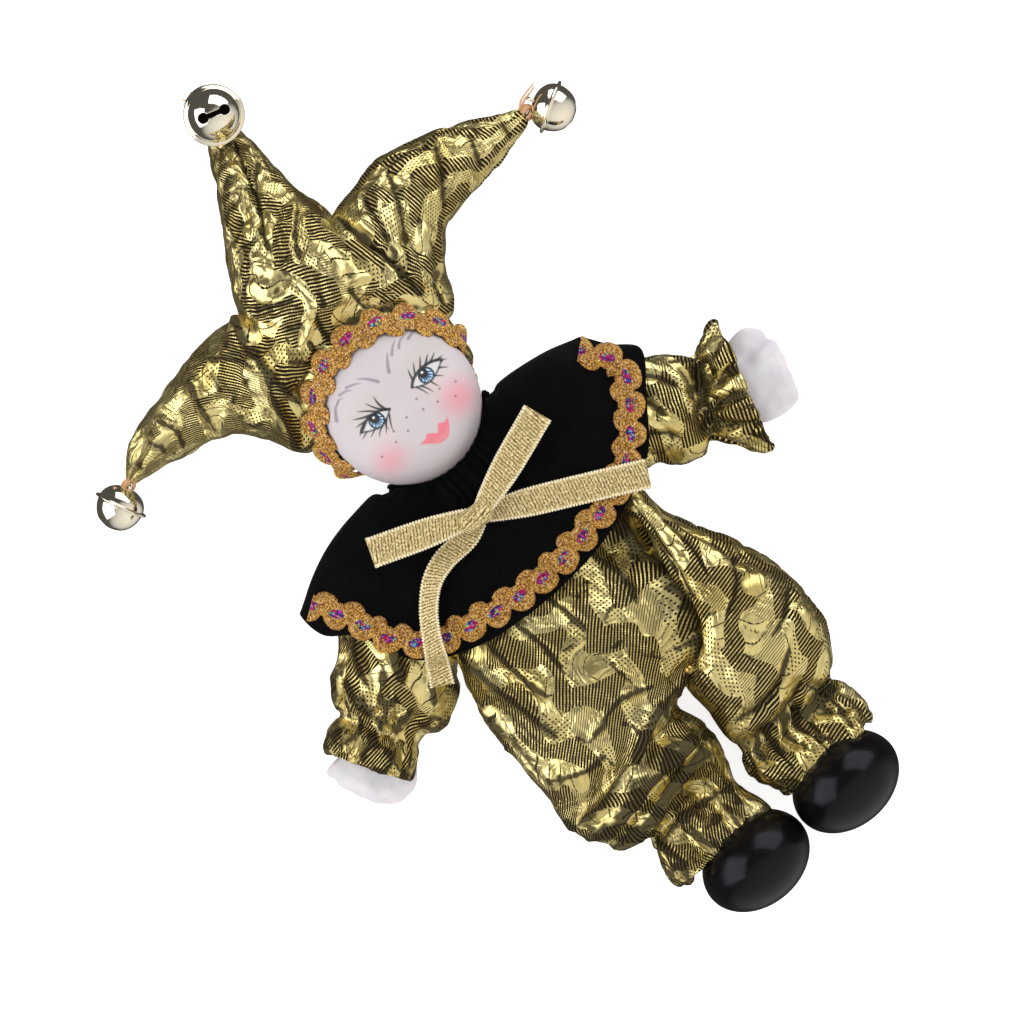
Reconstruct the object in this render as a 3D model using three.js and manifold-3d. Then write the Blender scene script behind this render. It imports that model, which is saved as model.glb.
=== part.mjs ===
// A small porcelain clown doll that lies on its back, as photographed from above.
// Millimetres, +Z up. The head points along +Y and the doll's front faces +Z.
// "left" in a name is the -X side of the plan.
import * as THREE from "three";
import { mergeVertices } from "three/addons/utils/BufferGeometryUtils.js";
import Module from "manifold-3d";

const wasm = await Module();
wasm.setup();
const { Manifold, Mesh: SolidMesh } = wasm;

const GAP = 0.3; // clearance between neighbouring pieces
const HEAD = { x: -0.4, y: 31, z: 18, r: 16.45 };
const BRIM_TILT = (31 * Math.PI) / 180; // the hat's brim plane leans back from the face
const BRIM_ROLL = (-4 * Math.PI) / 180; // and sits a little higher on the right
const CAPE_THICK = 0.8;
const BRAID_THICK = 1.0;
const BRAID_WIDTH = 6.3;
const RIBBON_WIDTH = 6;
const RIBBON_THICK = 0.6;

// Plain helpers

// A Manifold from flat arrays of points and triangles, turned to face outwards.
function solid(points, faces) {
  const geometry = new THREE.BufferGeometry();
  geometry.setAttribute("position", new THREE.Float32BufferAttribute(points, 3));
  geometry.setIndex(faces);
  return solidFrom(geometry);
}

function solidFrom(geometry) {
  const bare = new THREE.BufferGeometry();
  bare.setAttribute("position", geometry.getAttribute("position"));
  if (geometry.index) bare.setIndex(geometry.index);
  const merged = mergeVertices(bare, 1e-4);
  const triVerts = new Uint32Array(merged.index.array);
  const vertProperties = new Float32Array(merged.attributes.position.array);
  let made = new Manifold(new SolidMesh({ numProp: 3, vertProperties, triVerts }));
  if (made.volume() < 0) {
    for (let i = 0; i < triVerts.length; i += 3)
      [triVerts[i], triVerts[i + 1]] = [triVerts[i + 1], triVerts[i]];
    made = new Manifold(new SolidMesh({ numProp: 3, vertProperties, triVerts }));
  }
  return made;
}

function geometryOf(made) {
  const mesh = made.getMesh();
  const points = [];
  for (let i = 0; i < mesh.numVert; i++)
    for (let k = 0; k < 3; k++) points.push(mesh.vertProperties[i * mesh.numProp + k]);
  const geometry = new THREE.BufferGeometry();
  geometry.setAttribute("position", new THREE.Float32BufferAttribute(points, 3));
  geometry.setIndex([...mesh.triVerts]);
  return geometry;
}

// Catmull-Rom through rows of numbers, `per` steps between two rows.
function smooth(rows, per) {
  const out = [];
  const row = (i) => rows[Math.min(Math.max(i, 0), rows.length - 1)];
  for (let i = 0; i < rows.length - 1; i++)
    for (let s = 0; s < per; s++) {
      const t = s / per;
      out.push(
        row(i).map((_, k) => {
          const [a, b, c, d] = [row(i - 1)[k], row(i)[k], row(i + 1)[k], row(i + 2)[k]];
          return (
            0.5 *
            (2 * b + (c - a) * t + (2 * a - 5 * b + 4 * c - d) * t * t + (3 * b - a - 3 * c + d) * t ** 3)
          );
        }),
      );
    }
  out.push([...rows.at(-1)]);
  return out;
}

const bend = (v, power) => Math.sign(v) * Math.abs(v) ** power;

// A stuffed limb. Each station is [ax, ay, bx, by, low, high]: its two edges in plan and its underside and top.
function limb(stations, { per = 1, around = 14, power = 0.85 } = {}) {
  const rows = smooth(stations, per);
  const points = [];
  const faces = [];
  for (const [ax, ay, bx, by, low, high] of rows)
    for (let j = 0; j < around; j++) {
      const angle = (2 * Math.PI * j) / around;
      const side = bend(Math.cos(angle), power) / 2;
      const up = bend(Math.sin(angle), power) / 2;
      points.push((ax + bx) / 2 + (ax - bx) * side);
      points.push((ay + by) / 2 + (ay - by) * side);
      points.push((low + high) / 2 + (high - low) * up);
    }
  closeTube(points, faces, rows.length, around);
  return solid(points, faces);
}

// Joins rings of points into a closed tube with a fan at each end.
function closeTube(points, faces, rings, around) {
  for (let i = 0; i < rings - 1; i++)
    for (let j = 0; j < around; j++) {
      const a = i * around + j;
      const b = i * around + ((j + 1) % around);
      faces.push(a, b, b + around, a, b + around, a + around);
    }
  for (const [ring, turn] of [
    [0, 1],
    [rings - 1, 0],
  ]) {
    const centre = [0, 0, 0];
    for (let j = 0; j < around; j++)
      for (let k = 0; k < 3; k++) centre[k] += points[(ring * around + j) * 3 + k] / around;
    const c = points.length / 3;
    points.push(...centre);
    for (let j = 0; j < around; j++) {
      const a = ring * around + j;
      const b = ring * around + ((j + 1) % around);
      if (turn) faces.push(c, b, a);
      else faces.push(c, a, b);
    }
  }
}

// A round bar along a path of points, its radius a number or a function of the share of the path.
function bar(path, radius, { around = 8, per = 1 } = {}) {
  const rows = per > 1 ? smooth(path, per) : path;
  const points = [];
  const faces = [];
  const at = rows.map((p) => new THREE.Vector3(...p));
  let side = new THREE.Vector3(0.31, 0.17, 0.94);
  at.forEach((p, i) => {
    const along = at[Math.min(i + 1, at.length - 1)].clone().sub(at[Math.max(i - 1, 0)]).normalize();
    side = side.clone().addScaledVector(along, -side.dot(along)).normalize();
    const up = along.clone().cross(side);
    const r = typeof radius === "function" ? radius(i / (at.length - 1)) : radius;
    for (let j = 0; j < around; j++) {
      const angle = (2 * Math.PI * j) / around;
      const q = p
        .clone()
        .addScaledVector(side, r * Math.cos(angle))
        .addScaledVector(up, r * Math.sin(angle));
      points.push(q.x, q.y, q.z);
    }
  });
  closeTube(points, faces, rows.length, around);
  return solid(points, faces);
}

// A flat strip between two rows of edge points, with a thickness along each row's own normal. Closed = a ring.
function strip(edges, thick, closed = false) {
  const points = [];
  const faces = [];
  const n = edges.length;
  edges.forEach(([a, b], i) => {
    const before = edges[closed ? (i + n - 1) % n : Math.max(i - 1, 0)];
    const after = edges[closed ? (i + 1) % n : Math.min(i + 1, n - 1)];
    const along = new THREE.Vector3()
      .addVectors(after[0], after[1])
      .sub(before[0])
      .sub(before[1]);
    const normal = b.clone().sub(a).cross(along).normalize().multiplyScalar(thick);
    for (const p of [a, b, b.clone().add(normal), a.clone().add(normal)]) points.push(p.x, p.y, p.z);
  });
  const rings = closed ? n : n - 1;
  for (let i = 0; i < rings; i++)
    for (let j = 0; j < 4; j++) {
      const a = i * 4 + j;
      const b = i * 4 + ((j + 1) % 4);
      const c = ((i + 1) % n) * 4 + ((j + 1) % 4);
      const d = ((i + 1) % n) * 4 + j;
      faces.push(a, b, c, a, c, d);
    }
  if (!closed) {
    const e = (n - 1) * 4;
    faces.push(0, 2, 1, 0, 3, 2, e, e + 1, e + 2, e, e + 2, e + 3);
  }
  return solid(points, faces);
}

function union(...parts) {
  return parts.reduce((a, b) => a.add(b));
}

function ballAt(x, y, z, rx, ry = rx, rz = rx, wide = 24, high = 16) {
  const g = new THREE.SphereGeometry(1, wide, high).scale(rx, ry, rz).translate(x, y, z);
  return solidFrom(g);
}

// A turned shape: profile of [radius, height], placed by a matrix that maps the turning axis from +Y.
function turned(profile, matrix, around = 24) {
  const g = new THREE.LatheGeometry(
    profile.map(([r, h]) => new THREE.Vector2(r, h)),
    around,
  );
  return solidFrom(g.applyMatrix4(matrix));
}

// A frame whose Y axis is `axis`, at a point.
function along(axis, x, y, z) {
  const q = new THREE.Quaternion().setFromUnitVectors(new THREE.Vector3(0, 1, 0), axis.clone().normalize());
  return new THREE.Matrix4().compose(new THREE.Vector3(x, y, z), q, new THREE.Vector3(1, 1, 1));
}

const group = new THREE.Group();
const made = new Map();

// Keeps a piece under its name, with flat runs of small triangles merged to within `fine` mm.
function keep(name, part, fine = 0.04) {
  made.set(name, part.simplify(fine));
}

// Head: a near ball with a slight nose and a neck that is sewn into the body

const brimOut = new THREE.Vector3(0, -Math.sin(BRIM_TILT), Math.cos(BRIM_TILT)).applyAxisAngle(
  new THREE.Vector3(0, 0, 1),
  BRIM_ROLL,
);
const brimFrame = along(brimOut, HEAD.x, HEAD.y, HEAD.z);

function headShape(grow, wide = 24, high = 16) {
  const g = new THREE.SphereGeometry(1, wide, high);
  const p = g.attributes.position;
  for (let i = 0; i < p.count; i++) {
    const [x, y, z] = [p.getX(i), p.getY(i), p.getZ(i)];
    const nose = 0.55 * Math.exp(-((x * 16) ** 2 + (y * 16 + 3) ** 2) / 7) * (z > 0 ? 1 : 0);
    const r = HEAD.r + grow + 0.25 * y * y + nose;
    p.setXYZ(i, HEAD.x + x * r, HEAD.y + y * r, HEAD.z + z * r);
  }
  return solidFrom(g);
}

const NECK = { r: 5, z: 15.6, top: 18, bottom: 5 };
const neck = (grow) =>
  bar(
    [
      [HEAD.x, NECK.top, NECK.z],
      [HEAD.x, NECK.bottom - grow, NECK.z],
    ],
    NECK.r + grow,
    { around: 16 },
  );
keep("head", union(headShape(0), neck(0)));

// Hat: crown, seat for the braid and three stuffed horns, all one sewn piece

const hornLeft = limb([
  [-2, 62, -6, 40, 1, 25],
  [-11.2, 66.2, -19.6, 37, 0, 23.5],
  [-19, 67.8, -24.2, 45.2, 0, 20.5],
  [-27.9, 67.4, -28.9, 51, 0, 17.5],
  [-36.8, 66.2, -34.6, 53.6, 0, 13.5],
  [-45.4, 63.9, -41.8, 55.7, 0.6, 9.5],
  [-50.6, 60.2, -48.6, 57.4, 2, 6.8],
  [-51.8, 59.3, -50.6, 57.9, 3, 5.6],
]);
const hornMiddle = limb([
  [-13, 48, 19, 46, 0, 27],
  [-13.4, 57, 19.4, 57, 0, 27.5],
  [-11.2, 66.6, 16.4, 68, 0, 24.5],
  [-5.4, 75.6, 15.7, 76, 0, 20.5],
  [0.6, 84.2, 15.5, 83.5, 0, 16],
  [5.2, 92.6, 15.8, 91, 0, 9.5],
  [8.6, 98.2, 16.4, 96.8, 0, 5.2],
  [11.4, 101, 15.8, 100.2, 0.6, 4.4],
]);
const hornRight = limb([
  [4, 62, 8, 40, 1, 25],
  [16.3, 67.6, 19.4, 36.4, 0, 24],
  [23, 68.7, 25.4, 44.2, 0, 21.5],
  [31, 69.2, 32, 50.2, 0, 18.5],
  [41.8, 65.7, 39.8, 50.9, 0, 14.5],
  [50.4, 61.2, 49.4, 51.8, 0.4, 10.5],
  [57.2, 57.2, 56.6, 53, 2.2, 7.4],
  [58.8, 56, 58.5, 54, 3.4, 6.2],
]);
const crown = limb(
  [
    [-17.6, 30, 17.2, 29, 0, 32],
    [-19.2, 37, 19, 36, 0, 33],
    [-21, 45, 22, 44, 0, 30],
    [-19, 54, 21, 54, 0, 28],
    [-12, 64, 16, 65, 0, 25],
  ],
  { around: 24 },
);
const brimSeat = [
  [0, -7],
  [19.3, -7],
  [18.75, -5.4],
  [17.05, -0.2],
  [0, -0.2],
];
const brimCut = [
  [0, -0.2],
  [17.05, -0.2],
  [18.75, -5.4],
  [20.4, -5.4],
  [34, -1.5],
  [34, 70],
  [0, 70],
];
const nape = ballAt(HEAD.x, HEAD.y, HEAD.z, 18.4, 18.4, 18.4, 16, 10);
const hat = union(hornLeft, hornMiddle, hornRight, crown, nape, turned(brimSeat, brimFrame))
  .subtract(turned(brimCut, brimFrame))
  .subtract(headShape(GAP + 0.35, 14, 10))
  .subtract(neck(GAP))
  .trimByPlane([0, 0, 1], 0);
keep("hat", hat, 0.3);

// The braid round the brim: a scalloped band on a slightly flared seat

const BAND_FRONT = [17.75, 1.0];
const BAND_BACK = [19.3, -4.7];
function brimPoint(angle, share, out = 0) {
  const r = BAND_FRONT[0] + (BAND_BACK[0] - BAND_FRONT[0]) * share + out;
  const d = BAND_FRONT[1] + (BAND_BACK[1] - BAND_FRONT[1]) * share;
  return new THREE.Vector3(r * Math.cos(angle), d, r * Math.sin(angle)).applyMatrix4(brimFrame);
}
const HAT_LOBES = 17;
const PER_LOBE = 4;
const hatBand = [];
for (let i = 0; i < HAT_LOBES * PER_LOBE; i++) {
  const angle = (2 * Math.PI * i) / (HAT_LOBES * PER_LOBE);
  const wave = Math.cos((2 * Math.PI * i) / PER_LOBE);
  hatBand.push([brimPoint(angle, 0.06 + 0.06 * wave, -0.45), brimPoint(angle, 0.94 + 0.06 * wave, -0.45)]);
}
keep("hat_braid", strip(hatBand, -BRAID_THICK, true));

// Jingle bells: hollow brass balls with a rim round the middle, one slot and a wire loop

function bell(x, y, z, r, axis, slotSide) {
  const rim = r * 1.13;
  const wall = 0.6;
  const high = 0.5;
  const outer = [[0, -r]];
  const steps = 3;
  for (let i = 1; i < steps; i++) {
    const a = -Math.PI / 2 + (i / steps) * (Math.PI / 2);
    if (r * Math.sin(a) < -high) outer.push([r * Math.cos(a), r * Math.sin(a)]);
  }
  outer.push([r * 0.99, -high], [rim, -high * 0.8], [rim, high * 0.8], [r * 0.99, high]);
  for (let i = 1; i < steps; i++) {
    const a = (i / steps) * (Math.PI / 2);
    if (r * Math.sin(a) > high) outer.push([r * Math.cos(a), r * Math.sin(a)]);
  }
  outer.push([0, r]);
  const frame = along(axis, x, y, z);
  const shell = turned(outer, frame, 12);
  const hollow = ballAt(x, y, z, r - wall, r - wall, r - wall, 8, 5);
  // The slot runs over the side away from the loop, with a round hole at each end.
  const slot = new THREE.Vector3(...slotSide).normalize();
  const cut = [];
  const reach = 0.62 * r;
  for (const s of [-1, 1]) {
    const c = new THREE.Vector3(x, y, z).addScaledVector(slot, s * reach).addScaledVector(axis, r);
    const far = c.clone().addScaledVector(axis, -r * 0.95);
    cut.push(bar([c.toArray(), far.toArray()], 0.95, { around: 6 }));
  }
  const across = axis.clone().cross(slot).normalize();
  const box = new THREE.BoxGeometry(2 * reach, r * 0.9, 0.9);
  const turn = new THREE.Matrix4().makeBasis(slot, axis, across);
  turn.setPosition(x + axis.x * r * 0.75, y + axis.y * r * 0.75, z + axis.z * r * 0.75);
  box.applyMatrix4(turn);
  const loopAt = new THREE.Vector3(x, y, z).addScaledVector(axis, -(r + 0.55));
  const loop = new THREE.TorusGeometry(1.25, 0.42, 4, 8);
  loop.applyMatrix4(new THREE.Matrix4().makeBasis(across, axis, slot.clone().negate()));
  loop.translate(loopAt.x, loopAt.y, loopAt.z);
  let body = shell.subtract(hollow).subtract(solidFrom(box));
  for (const c of cut) body = body.subtract(c);
  return body.add(solidFrom(loop).subtract(ballAt(x, y, z, r - 0.3, r - 0.3, r - 0.3, 10, 6)));
}

const BELLS = {
  left: { at: [-57.6, 56, 6.0], r: 5.0, axis: [-0.95, -0.3, -0.08], slot: [-0.3, 0.9, 0.3] },
  middle: { at: [13.9, 98.9, 12.6], r: 5.5, axis: [0.02, 0.05, 1], slot: [0.97, -0.2, 0] },
  right: { at: [64.4, 50.9, 6.2], r: 5.2, axis: [0.72, -0.69, 0.05], slot: [0.68, 0.72, 0.1] },
};
for (const [name, b] of Object.entries(BELLS)) {
  const axis = new THREE.Vector3(...b.axis).normalize();
  const slot = new THREE.Vector3(...b.slot);
  slot.addScaledVector(axis, -slot.dot(axis)).normalize();
  keep("bell_" + name, bell(...b.at, b.r, axis, slot.toArray()), 0.09);
}

// Thread knots that tie each bell to its horn

keep(
  "bell_thread_left",
  bar(
    [
      [-52.3, 58.9, 7.6],
      [-53.3, 60.4, 8.6],
      [-52.6, 61.6, 9.6],
    ],
    0.5,
    { around: 6, per: 2 },
  ),
);
keep(
  "bell_thread_middle",
  bar(
    [
      [13.2, 101.5, 5.6],
      [12.6, 104.4, 5.2],
      [11.9, 106.2, 4.6],
    ],
    0.5,
    { around: 6, per: 2 },
  ),
);
keep(
  "bell_thread_right",
  bar(
    [
      [58.4, 56.8, 7.2],
      [59.8, 57.4, 8.2],
      [62, 57.8, 8.8],
      [64, 58, 9.2],
    ],
    0.5,
    { around: 6, per: 2 },
  ),
);

// Cape: one sheet of velvet gathered round the neck and laid over the shoulders, front and back.
// Each row is one direction round the neck: ruffle, gather, shoulder, middle and hem.

const CAPE_ROWS = [
  // right shoulder, where the sheet folds to the back
  [[13.4, 19.6, 16], [7.6, 12.8, 15], [17, 20.2, 13], [26, 18.4, 11.5], [34.4, 15.8, 8.5]],
  [[12.6, 18.3, 20], [7.2, 12.2, 17.8], [17.5, 17.5, 19.5], [28, 15, 17.5], [37.6, 10.4, 11.5]],
  [[10.6, 16.4, 23.6], [6.2, 11.6, 20.8], [18, 12.4, 23.4], [30, 8.6, 21.6], [41.4, 4.8, 16]],
  [[7.6, 14.7, 25.8], [4.6, 11, 22.6], [16, 4.4, 25.4], [26, -0.2, 23.8], [34.4, -3.6, 20.8]],
  [[4.6, 13.8, 27], [2.8, 10.4, 24], [10.5, 0, 26.2], [18.6, -6.6, 25.4], [26.3, -11.5, 23.4]],
  [[2, 13.4, 27.4], [1.4, 10.2, 24.4], [5, -1.4, 26.4], [8.6, -9.4, 25.9], [12, -16.3, 25.2]],
  [[-0.4, 13.3, 27.5], [-0.4, 10.1, 24.6], [-0.4, -1.6, 26.4], [-0.4, -10, 25.9], [0, -17.5, 25.3]],
  [[-3, 13.4, 27.4], [-2.2, 10.2, 24.4], [-5.8, -1.4, 26.4], [-9.2, -9.4, 25.9], [-12.4, -16.6, 25.2]],
  [[-5.6, 13.8, 27], [-3.6, 10.4, 24], [-11, 0, 26.2], [-17.6, -7.4, 25.6], [-24, -13.9, 24]],
  [[-8.6, 14.7, 25.8], [-5.4, 11, 22.6], [-16, 5, 25.4], [-25.6, -1.4, 24.2], [-34.3, -7.5, 21.4]],
  [[-11.4, 16.4, 23.6], [-7, 11.6, 20.8], [-18, 13, 23.4], [-29, 8.6, 22.4], [-39, 4, 20]],
  [[-13.4, 18.3, 20], [-8, 12.2, 17.8], [-18.5, 18.6, 19.5], [-32, 16, 18.4], [-44.2, 9.3, 14.5]],
  // left shoulder
  [[-14.2, 19.6, 16], [-8.4, 12.8, 15], [-19, 22.4, 13], [-33, 20.6, 11.5], [-44.7, 15.8, 8.5]],
  [[-13, 18, 11], [-8, 12.6, 11.4], [-18.5, 18.6, 4.5], [-31, 16.5, 3.6], [-42.4, 12.4, 2.4]],
  [[-10, 16.2, 6.4], [-6.6, 12.4, 8.6], [-17, 11.6, 1.5], [-27, 7.8, 0.9], [-37, 4, 0.9]],
  [[-5.4, 14.6, 3.8], [-3.8, 12, 7.2], [-10, 3, 1.1], [-17, -5, 0.9], [-24, -12, 0.9]],
  [[-0.4, 14.2, 3], [-0.4, 12, 6.8], [-0.4, 1, 1.1], [-0.4, -8, 0.9], [-0.4, -16, 0.9]],
  [[4.6, 14.6, 3.8], [3, 12, 7.2], [9, 3, 1.1], [16, -5, 0.9], [23, -11, 0.9]],
  [[9, 16.2, 6.4], [5.8, 12.4, 8.6], [15, 10.6, 1.5], [25, 6.8, 0.9], [34, 3, 0.9]],
  [[12.2, 18, 11], [7.2, 12.6, 11.4], [16, 17, 4.5], [24.5, 15, 3.6], [33, 12.4, 2.4]],
];

// The sheet as a function: round = 0..1 once about the neck, down = 0 ruffle edge .. 4 hem.
function capeRing() {
  const flat = CAPE_ROWS.map((row) => row.flat());
  const n = flat.length;
  const wrapped = [flat[n - 1], ...flat, flat[0], flat[1]];
  const per = 2;
  return smooth(wrapped, per)
    .slice(per, per + n * per)
    .map((row) => {
      const five = [0, 1, 2, 3, 4].map((k) => row.slice(k * 3, k * 3 + 3));
      return smooth(five, 2).filter((_, k) => k !== 1);
    });
}

function sheetSolid(grid, thick) {
  const around = grid.length;
  const deep = grid[0].length;
  const v = grid.map((row) => row.map((p) => new THREE.Vector3(...p)));
  const points = [];
  const faces = [];
  const id = (i, j, layer) => layer * around * deep + ((i + around) % around) * deep + j;
  for (const layer of [0, 1])
    for (let i = 0; i < around; i++)
      for (let j = 0; j < deep; j++) {
        const across = v[(i + 1) % around][j].clone().sub(v[(i + around - 1) % around][j]);
        const down = v[i][Math.min(j + 1, deep - 1)].clone().sub(v[i][Math.max(j - 1, 0)]);
        const normal = down.cross(across).normalize().multiplyScalar(layer ? thick : 0);
        const p = v[i][j].clone().add(normal);
        points.push(p.x, p.y, Math.max(p.z, layer ? 0 : Math.abs(thick)));
      }
  for (let i = 0; i < around; i++) {
    for (let j = 0; j < deep - 1; j++)
      for (const layer of [0, 1]) {
        const q = [id(i, j, layer), id(i + 1, j, layer), id(i + 1, j + 1, layer), id(i, j + 1, layer)];
        if (layer) q.reverse();
        faces.push(q[0], q[1], q[2], q[0], q[2], q[3]);
      }
    for (const j of [0, deep - 1]) {
      const q = [id(i, j, 0), id(i, j, 1), id(i + 1, j, 1), id(i + 1, j, 0)];
      if (j) q.reverse();
      faces.push(q[0], q[1], q[2], q[0], q[2], q[3]);
    }
  }
  return solid(points, faces);
}

const capeGrid = capeRing();
const cape = sheetSolid(capeGrid, -CAPE_THICK);
keep("cape", cape, 0.1);

// Height of the top of whatever lies under a point in plan.
const STEEPEST = 2.2; // how far a laid strip's edge may drop below its middle
const caster = new THREE.Raycaster();
function meshOf(part) {
  const mesh = new THREE.Mesh(geometryOf(part), new THREE.MeshBasicMaterial({ side: THREE.DoubleSide }));
  mesh.updateMatrixWorld(true);
  return mesh;
}
function topAt(x, y, meshes, floor = 0) {
  caster.set(new THREE.Vector3(x, y, 80), new THREE.Vector3(0, 0, -1));
  const hits = caster.intersectObjects(meshes, false);
  return hits.length ? hits[0].point.z : floor;
}

// Braid along the cape's front hem, from shoulder to shoulder

const capeMesh = meshOf(cape);
const BRAID_LINE = [
  [-41.6, 15.4],
  [-39.4, 11.4],
  [-37, 6.2],
  [-35.6, 1],
  [-31.8, -4.6],
  [-26.4, -8.4],
  [-20.8, -10.2],
  [-14.8, -11.8],
  [-8.3, -12.9],
  [-1.2, -13.5],
  [5.5, -13.1],
  [12, -12.3],
  [18.4, -10.9],
  [24.2, -8.1],
  [29.2, -3.8],
  [33, 0.6],
  [35.8, 4.8],
  [34.6, 9.2],
  [32, 13.2],
];
function evenly(line, count) {
  const fine = smooth(line, 12);
  const reach = [0];
  for (let i = 1; i < fine.length; i++)
    reach.push(reach[i - 1] + Math.hypot(...fine[i].map((v, k) => v - fine[i - 1][k])));
  const out = [];
  for (let s = 0; s <= count; s++) {
    const want = (reach.at(-1) * s) / count;
    let i = 1;
    while (i < reach.length - 1 && reach[i] < want) i++;
    const t = (want - reach[i - 1]) / (reach[i] - reach[i - 1]);
    out.push(fine[i - 1].map((v, k) => v + (fine[i][k] - v) * t));
  }
  return { points: out, length: reach.at(-1) };
}
const CAPE_LOBES = 19;
const braidRow = evenly(BRAID_LINE, CAPE_LOBES * PER_LOBE).points;
const braidEdges = braidRow.map(([x, y], i) => {
  const a = braidRow[Math.max(i - 1, 0)];
  const b = braidRow[Math.min(i + 1, braidRow.length - 1)];
  const l = Math.hypot(b[0] - a[0], b[1] - a[1]);
  const out = [(b[1] - a[1]) / l, -(b[0] - a[0]) / l];
  const wave = Math.cos((2 * Math.PI * i) / PER_LOBE);
  const outer = BRAID_WIDTH / 2 - 0.35 - 0.35 * wave;
  const inner = BRAID_WIDTH / 2 - 0.35 + 0.35 * wave;
  return [
    [x - out[0] * inner, y - out[1] * inner],
    [x + out[0] * outer, y + out[1] * outer],
  ];
});
// The strip takes the height of the velvet under it, kept smooth from one step to the next.
function layOn(edges, meshes, lift, fallback) {
  const heights = edges.map((pair) => {
    const mid = [(pair[0][0] + pair[1][0]) / 2, (pair[0][1] + pair[1][1]) / 2];
    const middle = topAt(...mid, meshes, fallback);
    const sides = pair.map(([x, y]) => topAt(x, y, meshes, middle));
    return [...sides.map((v) => Math.max(v, middle - STEEPEST)), middle];
  });
  return edges.map((pair, i) => {
    const near = heights.slice(Math.max(i - 2, 0), i + 3);
    const z = [0, 1].map((k) => Math.max(...near.map((h) => Math.max(h[k], 2 * h[2] - h[1 - k]))));
    return [0, 1].map((k) => new THREE.Vector3(pair[k][0], pair[k][1], z[k] + lift));
  });
}
const capeBraid = strip(layOn(braidEdges, [capeMesh], GAP, 8), BRAID_THICK);
keep("cape_braid", capeBraid);

// Suit: torso, sleeves with flared cuffs and trouser legs with gathered hems, all one stuffed piece

const torso = limb(
  [
    [-7, 9.4, 6.4, 9.4, 8.6, 18],
    [-17, 8, 15.6, 8, 5.4, 21.2],
    [-24, 2, 22, 2, 3, 23.8],
    [-27, -6, 23.6, -6, 1.2, 24.6],
    [-30.4, -15, 22.4, -15, 0.6, 24.2],
    [-33.4, -24, 23, -24, -0.6, 24.4],
    [-34.6, -34, 26.6, -34, -0.8, 24.6],
    [-34.6, -42, 28.4, -42, -0.8, 23.4],
    [-28, -47.2, 24, -47.2, 0.4, 20],
  ],
  { around: 24 },
);
const sleeveLeft = limb([
  [-18, 11, -12, -12, 3.8, 21],
  [-30, 11.8, -22, -13, 1.2, 20.4],
  [-38, 9.6, -29.6, -14.6, 0.6, 19],
  [-44.2, 6.2, -34, -19.2, -0.5, 18.4],
  [-49.5, 2.1, -39.6, -21.2, -0.5, 18],
  [-52.6, -1.4, -43.6, -20.4, 0, 15.6],
  [-53.9, -3.7, -46.4, -21.2, 0.6, 14.6],
  [-56.6, -4.3, -48.4, -22.6, 0, 16],
  [-61.2, -7.4, -52.6, -24, 0.3, 17.4],
]);
const sleeveRight = limb([
  [18, 10, 12, -11, 3.8, 21],
  [28, 9.4, 20, -12, 1.2, 20.4],
  [35.4, 7.4, 27, -13.4, 0.6, 19],
  [42, 2.6, 31.2, -17.6, -0.5, 18.2],
  [45.6, -0.4, 35, -19.6, -0.2, 16.6],
  [47.8, -2.5, 38, -19.6, 0.6, 14.8],
  [51, -1.7, 41.6, -24.8, 0, 16.4],
  [56, -1.4, 45.6, -28.2, 0.3, 18],
]);
const legLeft = limb([
  [-31, -16, 3, -16, 0, 24],
  [-34.3, -26, 3.4, -26, -1, 25],
  [-35.4, -36, 1.4, -36, -1, 25.6],
  [-36.6, -44, -1.6, -44.4, -1, 25],
  [-36.9, -50.5, -4.2, -49.4, -1, 24.2],
  [-36.6, -55.6, -2.9, -55.4, -1, 24.4],
  [-34.2, -60.4, -2.6, -60, -1, 23.6],
  [-30.4, -63.8, -3.4, -63.6, -0.6, 21.6],
  [-27.5, -66.4, -5.2, -67.4, -0.4, 20],
  [-29.3, -70, -5.9, -71.2, -0.6, 20.6],
  [-30.2, -74.4, -5.5, -75.2, -0.6, 21.4],
  [-28.2, -77.4, -5.8, -78.4, 0, 20.6],
]);
const legRight = limb([
  [22, -16, -4, -16, 0, 24],
  [24.1, -26.4, -3, -26, -1, 25.4],
  [27.6, -34.4, -1.6, -34.4, -1, 26.4],
  [29.8, -41.2, -0.4, -42, -1, 26.6],
  [30.6, -48, 0, -48.4, -1, 26],
  [30.5, -54.4, -0.2, -54.6, -1, 25],
  [29, -60.6, -0.8, -60.4, -1, 24],
  [25.4, -66.4, -1.4, -66.4, -0.8, 22.4],
  [21.2, -70, -2.5, -70.2, -0.4, 20.2],
  [22.6, -73.6, -2.5, -73.8, -0.6, 20.8],
  [23.2, -77.2, -1.9, -77, -0.6, 21.4],
  [20.6, -80, -0.8, -79.6, 0, 20.6],
]);

// Hands: flat closed mittens with a thumb, on a wrist that is sewn into the cuff

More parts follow.
